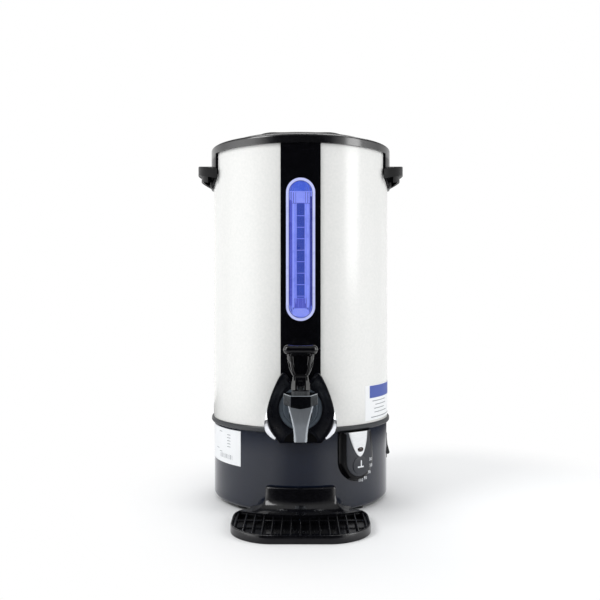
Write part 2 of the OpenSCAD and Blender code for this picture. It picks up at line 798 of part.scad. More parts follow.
// side view round the pivot: a shallow V to the outside, rounded ends, a foot behind
module switch_rocker() {
  half = rocker_l / 2;
  placed() turned(90) color("#0d0e10") translate([0, -rocker_pin_u, rocker_z]) {
    rotate([-rocker_tilt, 0, 0]) sideways(rocker_w / 2)
      polygon(concat([[4.2, 0]], arc([2.2, half - 3.2], 3.2, 25, 90, 6),
        [[-3, half - 2], [-5, 4], [-5, -4], [-3, 2 - half]],
                     arc([2.2, 3.2 - half], 3.2, -90, -25, 6)));
    translate([-frame_body_w / 2 + snug, 0, 0]) rotate([0, 90, 0])
      cylinder(r = rocker_pin_r, h = frame_body_w - 2 * snug);
  }
}

inlet_z = 46;                 // centre of the appliance inlet
inlet_pad_w = 54;
inlet_pad_h = 28;
inlet_pad_y = base_r + 1.4;   // the flat pad that the inlet's flange lies on
inlet_w = 27;
inlet_h = 20;
inlet_depth = 16;
inlet_screw_gap = 40;
inlet_screw_r = 1.5;

module power_inlet() {
  placed() turned(180) color("#0f1012") difference() {
    union() {
      facing(inlet_pad_y, inlet_pad_y + 2) translate([0, inlet_z]) difference() {
        square([inlet_screw_gap + 10, 24], center = true);
        for (s = [-1, 1]) translate([s * inlet_screw_gap / 2, 0]) circle(r = inlet_screw_r + run_gap);
      }
      facing(inlet_pad_y - inlet_depth, inlet_pad_y)
        translate([0, inlet_z]) square([inlet_w, inlet_h], center = true);
    }
    facing(inlet_pad_y - inlet_depth + 2, inlet_pad_y + past) translate([0, inlet_z])
      polygon(both_sides([[9, 8.3], [12.2, 5], [12.2, -8.3]]));
    facing(inlet_pad_y - past, inlet_pad_y) translate([0, inlet_z]) pin_places(4.1, 2.1);
  }
}

module pin_places(h, w) {
  for (p = [[-7, -2], [7, -2], [0, 2]]) translate(p) square([w, h], center = true);
}

module inlet_pins() {
  placed() turned(180) color("silver")
    facing(inlet_pad_y - inlet_depth - 7, inlet_pad_y - 3) translate([0, inlet_z]) pin_places(4, 2);
}

module inlet_screws() {
  placed() turned(180) color("silver") for (s = [-1, 1]) translate([s * inlet_screw_gap / 2, 0, inlet_z]) {
    facing(inlet_pad_y + 2, inlet_pad_y + 2.4) circle(r = 2.8);
    facing(inlet_pad_y - 9, inlet_pad_y + 2) circle(r = inlet_screw_r - run_gap);
  }
}

module terminal_block() {
  block_l = 46;
  placed() color("#d8d8d2") translate([-60, -10, plate_z + plate_t]) difference() {
    cube([18, block_l, 14]);
    for (i = [0 : 3]) translate([9, 8 + i * 10, 6]) cylinder(r = 2, h = 20);
  }
}

// insulated leads between inlet, terminal block, switch, thermostat, cut-out and heater
module wiring_loom() {
  top = plate_z + plate_t + 15.5;
  panel_dir = [sin(panel_angle), -cos(panel_angle), 0];
  inlet_y = base_r - 23;
  tab_x = rocker_flat - frame_depth - 8.3;
  wire_r = 1.2;
  placed() {
    color("#b5322a") {
      wire([[-7, inlet_y, inlet_z - 2], [-30, inlet_y - 12, 34], [-51, 30, top]], wire_r);
      wire([[7, inlet_y, inlet_z - 2], [40, 50, 44], [tab_x, 0, rocker_z + 8]], wire_r);
      wire([[tab_x, 0, rocker_z - 8], [60, -20, 30],
            panel_dir * (base_in - 30) + [-9, -4, dial_z + 12]], wire_r);
    }
    color("#2d4f9e") {
      wire([[-51, 20, top], [-60, 40, 50], [-18, element_r - 3, tank_floor - 29]], wire_r);
      wire([[18, element_r - 3, tank_floor - 29], [30, 20, 70], [27, -22, tank_floor - heater_t - 15.5]], wire_r);
    }
    color("#3f7f3a") wire([[0, inlet_y, inlet_z + 2], [-25, 40, 40], [-51, 10, top]], wire_r);
  }
}

// ---------- tap ----------

stem_y = -(body_r + tap_reach);        // the tap's vertical axis, from the urn's axis
spout_z = tap_z - spout_drop;
head_z0 = tap_z + 9;
head_z1 = tap_z + 22.8;
chamber_r = 7.5;
chamber_z0 = tap_z - 6;
chamber_z1 = tap_z + 14;
bonnet_top = head_z1 + 4;
cam_h = 6.2;                           // height of the lever's pin above the bonnet
pin_z = bonnet_top + cam_h;
pin_r = 1.5;
lever_w = 20.2;
fork_gap = 7;                          // width of the slot between the lever's two cheeks
bar_z = pin_z + 37;                    // axis of the lever's cross bar
flange_y = -(strip_r + 6.4);           // front of the round flange

module at_stem() { translate([0, stem_y, 0]) children(); }

module tap_body() {
  spout_r = 5;
  placed() color("#5a5e62") difference() {
    union() {
      at_stem() translate([0, 0, head_z0]) linear_extrude(head_z1 - head_z0)
        polygon(both_sides([[10.5, -16], [18.3, 5], [18.3, 11], [9, 18]]));
      at_stem() intersection() {
        facing(-11, 17) translate([0, spout_z]) polygon(both_sides(
          [[11.8, head_z0 - spout_z], [7.7, 1.5], [6.2, 0]]));
        sideways(20) translate([0, spout_z])
          polygon([[15, head_z0 - spout_z], [8.5, 0], [-7, 0], [-10, head_z0 - spout_z]]);
      }
      at_stem() translate([0, 0, chamber_z0 - 3]) cylinder(r = chamber_r + 3, h = head_z0 - chamber_z0 + 3);
      translate([0, 0, tap_z]) facing(-flange_y + snug, -stem_y - 5) circle(r = 12);
      translate([0, 0, tap_z]) facing(tank_in - 12, -stem_y - 5) circle(r = shank_r);
    }
    at_stem() translate([0, 0, chamber_z0]) cylinder(r = chamber_r, h = past + 20);
    at_stem() translate([0, 0, spout_z - 1]) cylinder(r = spout_r, h = past);
    translate([0, 0, tap_z]) facing(tank_in - past, -stem_y) circle(r = 5.5);
  }
}

module tap_bonnet() {
  placed() color("#3b3e42") at_stem() difference() {
    union() {
      translate([0, 0, chamber_z1]) cylinder(r = chamber_r - snug, h = head_z1 - chamber_z1 + 1);
      translate([0, 0, head_z1]) cylinder(r = chamber_r + 2.2, h = bonnet_top - head_z1);
    }
    translate([0, 0, chamber_z1 - 1]) cylinder(r = stem_r + run_gap, h = past);
  }
}

module tap_stem() {
  placed() color("#c8cacc") at_stem() difference() {
    union() {
      translate([0, 0, chamber_z0 + 2.5]) cylinder(r = stem_r, h = pin_z - chamber_z0 - 2.5);
      translate([-fork_gap / 2 + clear, 0, pin_z]) rotate([0, 90, 0]) cylinder(r = 3.6, h = fork_gap - 2 * clear);
    }
    translate([-past, 0, pin_z]) rotate([0, 90, 0]) cylinder(r = pin_r + run_gap, h = 2 * past);
  }
}

module tap_seat() {
  placed() color("#dcdcd6") at_stem() difference() {
    translate([0, 0, chamber_z0 + clear]) cylinder(r = chamber_r - 1, h = 6);
    translate([0, 0, chamber_z0 + 2.5 - pane_gap]) cylinder(r = stem_r + run_gap, h = past);
  }
}

// helix of round wire between two heights
module coil(r, wire_r, z0, z1, turns) {
  steps = 24;
  rise = (z1 - z0 - 2 * wire_r) / (turns * steps);
  sweep([for (i = [0 : turns * steps]) [r * cos(360 * i / steps), r * sin(360 * i / steps), z0 + wire_r + rise * i]],
        wire_r, [0, 0, 1]);
}

module tap_spring() {
  placed() color("silver") at_stem()
    coil(chamber_r - 2.6, 0.6, chamber_z0 + clear + 6 + snug, chamber_z1 - snug, 5);
}

// side view of the lever's cheeks: under the pin, a cam that lifts the stem evenly as it tilts
function cam_points() = let (k = stem_lift / (lever_tilt * PI / 180))
  [for (i = [0 : 8]) let (a = lever_tilt * i / 8, h = cam_h - clear + stem_lift * i / 8)
    [k * cos(a) + h * sin(a), k * sin(a) - h * cos(a)]];

module tap_lever() {
  cheek_top = 8;
  paddle_z0 = cheek_top - 1;
  bar_r = 5.25;
  paddle = concat(
    curve([14.6, bar_z - pin_z - 2], [14.6, 27], [13, 16], [8.4, paddle_z0], 8));
  placed() color("#0b0c0e") at_stem() translate([0, 0, pin_z]) difference() {
    union() {
      sideways(lever_w / 2) polygon(concat(
        [[-7.5, clear - cam_h]], cam_points(), [[9.6, cheek_top - 2], [8, cheek_top], [-6, cheek_top], [-7.5, 5]]));
      intersection() {
        facing(-8, 8) polygon(both_sides(paddle));
        sideways(20) polygon([[5, paddle_z0], [6, bar_z - pin_z], [-4, bar_z - pin_z], [-4, paddle_z0]]);
      }
      translate([-18.35 + bar_r, 0, bar_z - pin_z]) rotate([0, 90, 0]) cylinder(r = bar_r, h = 36.7 - 2 * bar_r);
      for (s = [-1, 1]) translate([s * (18.35 - bar_r), 0, bar_z - pin_z]) sphere(r = bar_r);
    }
    // hollow scooped out of the paddle's front
    translate([0, -24, paddle_z0 + 3]) cylinder(r = 20.5, h = bar_z - pin_z - paddle_z0 - 3 - bar_r + 1);
    // slot for the stem's eye, open at the back and below
    translate([-fork_gap / 2, -6.3, -past]) cube([fork_gap, past, past + 4.6]);
    translate([-fork_gap / 2, -past, -past]) cube([fork_gap, past, past - 1.2]);
    translate([-past, 0, 0]) rotate([0, 90, 0]) cylinder(r = pin_r + pane_gap, h = 2 * past);
  }
}

module lever_pin() {
  placed() color("silver") at_stem() translate([-lever_w / 2 + 0.4, 0, pin_z]) rotate([0, 90, 0])
    cylinder(r = pin_r, h = lever_w - 0.8);
}

module tap_nut() {
  placed() color("#c8cacc") translate([0, 0, tap_z]) difference() {
    facing(tank_in - 10.5, tank_in - 4.6) circle(r = 14.5, $fn = 6);
    facing(tank_in - past, tank_in) circle(r = shank_r + run_gap);
  }
}

// silicone seals: a washer inside the tank and a sleeve between tank and painted sheet
module tap_seals() {
  placed() color("#dcdcd6") difference() {
    union() {
      intersection() {
        translate([0, 0, tap_z]) facing(tank_in - 4.5, tank_in + 2) circle(r = 13.5);
        cylinder(r = tank_in - pane_gap, h = rim_z, $fn = 180);
      }
      intersection() {
        translate([0, 0, tap_z]) facing(tank_in - 5, shell_in + 2) circle(r = 13.5);
        ring(tank_r + pane_gap, shell_in - pane_gap, tap_z - past, tap_z + past);
      }
    }
    translate([0, 0, tap_z]) facing(tank_in - past, shell_in + past) circle(r = shank_r + run_gap);
  }
}

module tap_flange() {
  placed() color("#4b4f54") translate([0, 0, tap_z]) difference() {
    union() {
      facing(strip_r + 2.6, -flange_y - 2.4) circle(r = 24.5);
      facing(strip_r + 2.6, -flange_y) circle(r = 18.5);
    }
    facing(body_r, -flange_y + past) circle(r = shank_r + snug);
  }
}

shroud_front = strip_r + 11;
shroud_scale = 0.88;          // inner outline of the shroud's wall, as a share of the outer one

// shield outline round the shank: notch, rounded horn, long flank, narrow foot
function shroud_half() = concat(
  [[0, 28.5], [7, 28.5]],
  curve([8, 28.6], [12, 29.5], [14.5, 40.5], [19.5, 40.5], 7),
  curve([20.2, 40.4], [24, 39.5], [36.5, 12], [38, -2.6], 10),
  curve([37.9, -4], [38, -16], [31, -29], [23.5, -37.7], 9));

function shrunk(half, k, centre_z) = [for (p = half) [p[0] * k, (p[1] - centre_z) * k + centre_z]];

// bright corner trim round the shield's foot
function trim_half() = concat(
  [[0, 4], [34, 4]],
  curve([38.6, -2], [42.4, -13], [44.6, -27], [37, -32], 8),
  curve([36.5, -32.6], [33, -36], [28, -37.6], [23.5, -38], 5));

trim_r = body_r + 5;

module trim_band(gap) {
  intersection() {
    translate([0, 0, tap_z]) facing(body_r * 0.6, body_r + past) difference() {
      polygon(both_sides(trim_half()));
      polygon(both_sides(shrunk(shroud_half(), shroud_scale + 0.02 - gap * 0.02, 2)));
    }
    cylinder(r = trim_r + gap, h = rim_z, $fn = 180);
  }
}

module tap_shroud() {
  placed() color("#0c0d10") difference() {
    translate([0, 0, tap_z]) facing(body_r * 0.6, shroud_front) polygon(both_sides(shroud_half()));
    body_cut(snug, body_r);
    intersection() {
      cylinder(r = strip_r + snug, h = rim_z, $fn = 180);
      translate([-strip_w / 2 - snug, -2 * body_r, 0]) cube([strip_w + 2 * snug, 2 * body_r, rim_z]);
    }
    trim_band(snug);
    difference() {
      translate([0, 0, tap_z]) facing(body_r * 0.6, shroud_front + past)
        polygon(both_sides(shrunk(shroud_half(), shroud_scale, 2)));
      cylinder(r = strip_r + 2.3, h = rim_z, $fn = 180);
    }
    translate([0, 0, tap_z]) facing(body_r * 0.6, shroud_front + past) circle(r = shank_r + snug);
  }
}

module shroud_trim() {
  placed() color("#e8eaec") difference() {
    trim_band(0);
    body_cut(snug, body_r);
    intersection() {
      cylinder(r = strip_r + snug, h = rim_z, $fn = 180);
      translate([-strip_w / 2 - snug, -2 * body_r, 0]) cube([strip_w + 2 * snug, 2 * body_r, rim_z]);
    }
  }
}

// ---------- drip tray ----------

tray_r = base_r + 0.5;        // the tray's back hugs the base
step_r = base_r + 26;         // edge of the flat behind the tray's well
neck_top = 34;
neck_half_w = 39.8;
tray_floor = 2;
tray_wall = 2.4;

// plan of the tray, right half from the front: y is the distance in front of the urn's axis
function tray_half() = concat(
  [[0, tray_front]],
  curve([tray_half_w * 0.41, tray_front], [tray_half_w * 0.67, tray_front],
        [tray_half_w, tray_front - 20], [tray_half_w, tray_front - 46], 10),
  curve([tray_half_w, tray_front - 72], [tray_half_w, tray_front - 88],
        [tray_half_w - 7, tray_front - 101], [tray_half_w - 19, tray_front - 102], 8),
  [[neck_half_w, tray_front - 102], [neck_half_w - 8, tray_r - 8], [0, tray_r - 8]]);

function tray_inner(gap) = let (mid = tray_front - 50, k = 1 - (tray_wall + gap) / tray_half_w,
    m = 1 - (tray_wall + gap) / 50)
  [for (p = tray_half()) [p[0] * k, (p[1] - mid) * m + mid]];

module tray_plan(points, z0, z1) {
  translate([0, 0, z0]) linear_extrude(z1 - z0) mirror([0, 1, 0]) polygon(both_sides(points));
}

// the upright that hugs the base, flaring into the tray at its foot
module tray_neck() {
  intersection() {
    rotate_extrude($fn = 180) polygon(concat(
      [[tray_r, tray_h - 1], [step_r - 1, tray_h - 1]],
      curve([step_r - 1, tray_h], [base_r + 12, tray_h + 0.5], [base_r + 8, tray_h + 8], [base_r + 7, neck_top - 6]),
      [[base_r + 6, neck_top], [tray_r, neck_top]]));
    facing(body_r * 0.6, step_r) polygon(both_sides(concat(
      [[neck_half_w, neck_top], [neck_half_w, neck_top - 12]],
      curve([neck_half_w, neck_top - 13], [neck_half_w, tray_h + 4], [neck_half_w + 4, tray_h + 0.5],
            [neck_half_w + 18, tray_h], 7),
      [[neck_half_w + 18, tray_h - 2]])));
  }
}

module drip_tray() {
  placed() color("#0c0d10") union() {
    difference() {
      tray_plan(tray_half(), 0, tray_h);
      translate([0, 0, -1]) cylinder(r = tray_r, h = tray_h + 2, $fn = 180);
      difference() {
        tray_plan(tray_inner(0), tray_floor, tray_h + 1);
        cylinder(r = step_r, h = tray_h + 2, $fn = 180);
      }
    }
    tray_neck();
  }
}

// lift-out grate: a rim strip, long bars to the front, and four short legs
module drip_grate() {
  z0 = tray_h - 3.6;
  z1 = tray_h - 1;
  bar_t = 1.6;
  bars = floor(tray_half_w / grate_pitch);
  placed() color("#0b0c0f") difference() {
    union() {
      intersection() {
        tray_plan(tray_inner(0.5), z0, z1);
        union() {
          for (i = [-bars : bars])
            translate([i * grate_pitch - bar_t / 2, -tray_front, 0]) cube([bar_t, tray_front, 50]);
          for (y = [step_r + 10, tray_front - 12])
            translate([-tray_half_w, -y - 1.5, 0]) cube([2 * tray_half_w, 3, 50]);
        }
      }
      for (s = [-1, 1]) for (y = [step_r + 10, tray_front - 12])
        translate([s * grate_pitch * 4, -y, tray_floor + 0.05]) cylinder(r = 2.5, h = z1 - tray_floor - 0.05);
    }
    translate([0, 0, -1]) cylinder(r = step_r + 0.5, h = 50, $fn = 180);
  }
}

// ---------- percolator ----------

riser_r = 6;
basket_z0 = tank_floor + 0.62 * (flange_z - tank_floor);
basket_z1 = flange_z - 33;
basket_r = tank_in - 22;
basket_t = 0.8;

module percolator_stem() {
  foot = tank_floor + tank_t + snug;
  placed() color("#c4c8cb") rotate_extrude() polygon([
    [30, foot], [30, foot + 2], [14, foot + 12], [riser_r, foot + 16], [riser_r, basket_z0 - 5],
    [riser_r + 3, basket_z0 - 3], [riser_r + 3, basket_z0 - snug], [riser_r, basket_z0 - snug],
    [riser_r, basket_z1 + 4], [riser_r - 1, basket_z1 + 4], [riser_r - 1, foot + 15], [12.5, foot + 11],
    [28.6, foot + 1],
    [28.6, foot]]);
}

module basket_holes(r_from, r_to, z) {
  for (q = [r_from : 11 : r_to]) for (i = [0 : floor(q / 2.2)])
    rotate([0, 0, 360 * i / (floor(q / 2.2) + 1)]) translate([q, 0, z - 2]) cylinder(r = 1.3, h = 4);
}

module coffee_basket() {
  placed() color("#bfc3c6") difference() {
    rotate_extrude($fn = 180) polygon([
      [riser_r + clear, basket_z0], [basket_r, basket_z0], [basket_r, basket_z1 - 2], [basket_r + 2, basket_z1 - 2],
      [basket_r + 2, basket_z1 - 1], [basket_r - basket_t, basket_z1 - 1],
      [basket_r - basket_t, basket_z0 + basket_t],
      [riser_r + clear + basket_t, basket_z0 + basket_t], [riser_r + clear + basket_t, basket_z0 + 12],
      [riser_r + clear, basket_z0 + 12]]);
    basket_holes(16, basket_r - 8, basket_z0);
  }
}

module basket_cover() {
  z = basket_z1 - 1 + snug;
  placed() color("#c6cacd") difference() {
    rotate_extrude($fn = 180) polygon([
      [riser_r + clear, z], [basket_r + 2, z], [basket_r + 2, z + 3], [basket_r + 1.2, z + 3],
      [basket_r + 1.2, z + 0.8],
      [riser_r + clear + 0.8, z + 0.8], [riser_r + clear + 0.8, z + 4], [riser_r + clear, z + 4]]);
    basket_holes(20, basket_r - 10, z);
  }
}

// ---------- stickers ----------

// thin sheet on a round wall, from one angle to another, seen from the front
module sticker(r, from, to, z0, z1) {
  rotate([0, 0, from - 90]) rotate_extrude(angle = to - from, $fn = 180) translate([r + pane_gap, z0])
    square([0.15, z1 - z0]);
}

module paper_labels() {
  placed() color("white") {
    sticker(base_r, -86, -40, base_top - 43.2, base_top - 2.1);
    sticker(body_r, 43.6, 88, ring_top + 2.5, ring_top + 43.8);
  }
}

base_housing();
base_plate();
rubber_feet();
foot_screws();
trim_ring();
outer_shell();
front_strip();
window_frame();
window_lens();
scale_plate();
sight_tube();
tube_elbows();
light_reflector();
led_boards();
top_rim();
handle_left();
handle_right();
handle_screws();
lid_panel();
lid_gasket();
lid_handle();
lid_screws();
inner_tank();
heater_plate();
heater_element();
thermal_cutout();
tie_bar();
tie_bolt();
thermostat_body();
thermostat_shaft();
thermostat_knob();
thermostat_bulb();
control_panel();
panel_plate();
indicator_lamp();
switch_frame();
switch_rocker();
power_inlet();
inlet_pins();
inlet_screws();
terminal_block();
wiring_loom();
tap_body();
tap_bonnet();
tap_stem();
tap_seat();
tap_spring();
tap_lever();
lever_pin();
tap_nut();
tap_seals();
tap_flange();
tap_shroud();
shroud_trim();
drip_tray();
drip_grate();
percolator_stem();
coffee_basket();
basket_cover();
paper_labels();
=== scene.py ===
"""Looks of a tabletop coffee urn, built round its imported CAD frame.

Shapes are worked out in millimetres about the urn's own axis, with +Z up and the front towards -Y,
and turned to metres in the frame when they become meshes.
"""

import math

import bmesh
import bpy
import numpy as np
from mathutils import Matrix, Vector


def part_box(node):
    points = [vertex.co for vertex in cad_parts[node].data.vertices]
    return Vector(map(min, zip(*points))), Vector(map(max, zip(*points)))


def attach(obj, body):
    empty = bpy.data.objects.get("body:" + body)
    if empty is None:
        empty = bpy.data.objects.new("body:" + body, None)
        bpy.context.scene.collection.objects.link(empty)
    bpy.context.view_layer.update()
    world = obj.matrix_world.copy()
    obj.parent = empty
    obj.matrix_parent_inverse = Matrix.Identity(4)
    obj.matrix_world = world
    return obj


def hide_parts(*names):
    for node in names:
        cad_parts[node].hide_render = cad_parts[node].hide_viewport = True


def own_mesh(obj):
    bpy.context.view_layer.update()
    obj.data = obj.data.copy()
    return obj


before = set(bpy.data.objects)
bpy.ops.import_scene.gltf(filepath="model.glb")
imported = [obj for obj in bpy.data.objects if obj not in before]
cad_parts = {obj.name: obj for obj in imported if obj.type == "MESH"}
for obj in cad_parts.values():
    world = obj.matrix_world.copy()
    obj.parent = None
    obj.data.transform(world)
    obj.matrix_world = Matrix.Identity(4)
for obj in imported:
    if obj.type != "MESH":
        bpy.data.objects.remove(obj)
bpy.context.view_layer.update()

# ---------- places and sizes taken from the frame, in millimetres ----------

MM = 0.001
shell_box = [np.array(corner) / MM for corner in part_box("outer_shell")]
AXIS = np.array([0.0, (shell_box[0][1] + shell_box[1][1]) / 2, 0.0])


def span(node):
    """Lowest and highest corner of a CAD node, in millimetres about the urn's axis."""
    lo, hi = (np.array(corner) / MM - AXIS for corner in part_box(node))
    return lo, hi


def middle(node):
    """Centre of a CAD node's box, in millimetres about the urn's axis."""
    lo, hi = span(node)
    return (lo + hi) / 2


body_r = span("outer_shell")[1][0]
base_r = -span("base_housing")[0][0]
base_top, ring_top = span("trim_ring")[0][2], span("trim_ring")[1][2]
ring_r = span("trim_ring")[1][0]
strip_half, strip_r = span("front_strip")[1][0], -span("front_strip")[0][1]
rim_z = span("front_strip")[1][2] + 0.1
window_z = middle("window_frame")[2]
window_half_w, window_half_h = span("window_frame")[1][0], span("window_frame")[1][2] - window_z
tap_z = middle("tap_flange")[2]
flange_r, flange_front = span("tap_flange")[1][0], -span("tap_flange")[0][1]
stem_y = middle("tap_bonnet")[1]
spout_z, head_top = span("tap_body")[0][2], span("tap_body")[1][2]
bonnet_top = span("tap_bonnet")[1][2]
pin_z = middle("lever_pin")[2]
bar_top = span("tap_lever")[1][2]
bar_half = span("tap_lever")[1][0]
shroud_front = -span("tap_shroud")[0][1]
panel_angle = math.atan2(middle("thermostat_shaft")[0], -middle("thermostat_shaft")[1])
dial_z = middle("thermostat_knob")[2]
dial_r = span("thermostat_knob")[1][2] - dial_z
lamp_z = middle("indicator_lamp")[2]
tray_half, tray_front = span("drip_tray")[1][0], -span("drip_tray")[0][1]
neck_top = span("drip_tray")[1][2]
tray_h = span("drip_grate")[1][2] + 1
deck_z = span("lid_panel")[1][2]
panel_r = base_r + 7

# ---------- shapes ----------


def bezier(a, b, c, d, n=12):
    """Cubic curve from a to d, drawn towards b and c, as n + 1 points."""
    t = np.linspace(0, 1, n + 1)[:, None]
    a, b, c, d = (np.array(p, float) for p in (a, b, c, d))
    return (1 - t) ** 3 * a + 3 * (1 - t) ** 2 * t * b + 3 * (1 - t) * t ** 2 * c + t ** 3 * d


def smooth(x, low, high):
    """0 below low, 1 above high and an even S between."""
    t = np.clip((np.asarray(x, float) - low) / (high - low), 0, 1)
    return t * t * (3 - 2 * t)


def mirrored(half):
    """Closed outline whose right half is given from top to bottom."""
    half = np.asarray(half, float)
    return np.vstack([half, half[::-1] * [-1, 1]])


def evened(outline, n):
    """A closed outline as n points at equal distances along it."""
    loop = np.vstack([outline, outline[:1]])
    along = np.concatenate([[0], np.cumsum(np.linalg.norm(np.diff(loop, axis=0), axis=1))])
    at = np.linspace(0, along[-1], n, endpoint=False)
    return np.column_stack([np.interp(at, along, loop[:, 0]), np.interp(at, along, loop[:, 1])])


def grid(points, wrap_rows=False, wrap_columns=False, caps=""):
    """Quads between the rows and columns of an array of points, with the first or last row capped."""
    rows, columns = points.shape[:2]
    i = np.arange(rows if wrap_rows else rows - 1)[:, None]
    j = np.arange(columns if wrap_columns else columns - 1)[None, :]
    i2, j2 = (i + 1) % rows, (j + 1) % columns
    quads = np.stack([i * columns + j, i * columns + j2, i2 * columns + j2, i2 * columns + j], -1)
    faces = quads.reshape(-1, 4).tolist()
    if "a" in caps:
        faces.append(list(range(columns))[::-1])
    if "z" in caps:
        faces.append(list(range((rows - 1) * columns, rows * columns)))
    return points.reshape(-1, 3), faces


def tube(sections, caps=""):
    """Closed sections skinned in order, open or with the first ("a") and the last ("z") filled."""
    return grid(np.array(sections), wrap_columns=True, caps=caps)


def ring(sections):
    """Closed sections skinned in order, the last one back to the first."""
    return grid(np.array(sections), wrap_rows=True, wrap_columns=True)


def circle(n):
    """n angles that go once round."""
    return np.linspace(0, 2 * np.pi, n, endpoint=False)


def turned_z(profile, n, x=0.0, y=0.0):
    """Profile of (radius, height) carried round an upright axis."""
    (r, z), a = np.array(profile, float).T[:, :, None], circle(n)
    return tube(np.stack([x + r * np.sin(a), y - r * np.cos(a), z + 0 * a], -1))


def turned_y(profile, z, n=96):
    """Profile of (radius, distance to the front) carried round an axis that points to the front."""
    (r, d), a = np.array(profile, float).T[:, :, None], circle(n)
    return tube(np.stack([r * np.cos(a), -d + 0 * a, z + r * np.sin(a)], -1))


def turned_x(profile, y, z, n=48):
    """Profile of (place along X, radius) carried round a level axis."""
    (x, r), a = np.array(profile, float).T[:, :, None], circle(n)
    return tube(np.stack([x + 0 * a, y + r * np.cos(a), z + r * np.sin(a)], -1))


def arc_depth(x, r):
    """How far in front of the axis a round wall of radius r lies at x."""
    return np.sqrt(np.maximum(r ** 2 - x ** 2, 0))


def on_wall(u, z, r, angle=0.0):
    """Points u to the right along a flat drawing and z up, moved straight back onto a round wall of radius r,
    and turned about the urn's axis by an angle."""
    u, z, r = np.broadcast_arrays(u, z, r)
    x, y, cos, sin = u, -arc_depth(u, r), math.cos(angle), math.sin(angle)
    return np.stack([x * cos - y * sin, x * sin + y * cos, z], -1)


def wrapped(arc, z, r, angle):
    """Points at a length of arc from an angle, and at a height, on a round wall of radius r."""
    arc, z, r = np.broadcast_arrays(arc, z, r)
    a = angle + arc / r
    return np.stack([r * np.sin(a), -r * np.cos(a), z], -1)


def welded(mesh, gap, tidy):
    """Merges a mesh's points that lie closer than gap, in metres, and then runs tidy on its faces and edges."""
    shape = bmesh.new()
    shape.from_mesh(mesh)
    bmesh.ops.remove_doubles(shape, verts=shape.verts, dist=gap)
    tidy(shape)
    shape.to_mesh(mesh)
    shape.free()


def shaded(mesh, crease):
    """Soft shading all over, except across edges sharper than crease, in degrees."""
    mesh.polygons.foreach_set("use_smooth", np.full(len(mesh.polygons), True))
    mesh.set_sharp_from_angle(angle=math.radians(crease))


def outward(shape):
    """Drops faces without area and turns the others outwards."""
    bmesh.ops.dissolve_degenerate(shape, edges=shape.edges, dist=1e-7)
    bmesh.ops.recalc_face_normals(shape, faces=shape.faces)


def flattened(shape):
    """Joins loose triangles that lie in one plane."""
    bmesh.ops.dissolve_limit(shape, angle_limit=math.radians(0.5), verts=shape.verts, edges=shape.edges)


def build(name, grids, body, look, replaces=(), crease=35):
    """Joins grids into one object in the frame, with closed seams and outward faces."""
    verts, faces, start = [], [], 0
    for points, quads in grids:
        verts.append(points)
        faces += [[v + start for v in face] for face in quads]
        start += len(points)
    mesh = bpy.data.meshes.new(name)
    mesh.from_pydata(((np.vstack(verts) + AXIS) * MM).tolist(), [], faces)
    welded(mesh, 1e-6, outward)
    shaded(mesh, crease)
    return finished(name, mesh, body, look, replaces)


def in_scene(name, data):
    """A new object of some data, linked into the scene."""
    obj = bpy.data.objects.new(name, data)
    bpy.context.scene.collection.objects.link(obj)
    return obj


def finished(name, mesh, body, look, replaces):
    """Gives a mesh its material, its body and the CAD nodes that it stands for."""
    obj = in_scene(name, mesh)
    mesh.materials.clear()
    mesh.materials.append(look)
    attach(obj, body)
    if replaces:
        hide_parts(*replaces)
    return obj


def softened(node, body, look, width):
    """A merged copy of a CAD node whose edges are rounded by a bevel of the given width in millimetres."""
    mesh, least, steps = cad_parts[node].data.copy(), 30, 3
    welded(mesh, 2e-6, flattened)
    if "custom_normal" in mesh.attributes:
        mesh.attributes.remove(mesh.attributes["custom_normal"])
    shaded(mesh, least)
    bevel = finished(node + "_rounded", mesh, body, look, [node]).modifiers.new("rounded edges", "BEVEL")
    bevel.width, bevel.segments, bevel.limit_method = width * MM, steps, "ANGLE"
    bevel.angle_limit, bevel.harden_normals, bevel.miter_outer = math.radians(least), True, "MITER_ARC"


# ---------- materials ----------


def colour(hex_text):
    """An sRGB colour written as six hex digits, turned to linear light."""
    parts = [int(hex_text[i:i + 2], 16) / 255 for i in (0, 2, 4)]
    return tuple(c / 12.92 if c <= 0.04045 else ((c + 0.055) / 1.055) ** 2.4 for c in parts) + (1.0,)


def add(tree, kind, inputs=(), stops=(), out=0, **settings):
    """Adds a node, named without its ShaderNode prefix, with its settings, its colour stops as (place, hex) and
    values or links for its inputs, by name or in their order. Gives one of its outputs, or with None all."""
    made = tree.nodes.new("ShaderNode" + kind)
    for key, value in settings.items():
        setattr(made, key, value)
    if stops:
        elements = made.color_ramp.elements
        while len(elements) < len(stops):
            elements.new(0.5)
        for element, (place, hex_text) in zip(elements, stops):
            element.position, element.color = place, colour(hex_text)
    for key, value in inputs.items() if isinstance(inputs, dict) else enumerate(inputs):
        if isinstance(value, bpy.types.NodeSocket):
            tree.links.new(value, made.inputs[key])
        else:
            made.inputs[key].default_value = value
    return made.outputs if out is None else made.outputs[out]


def emptied(owner):
    """The node tree of a material or world, switched on and cleared."""
    owner.use_nodes = True
    owner.node_tree.nodes.clear()
    return owner.node_tree


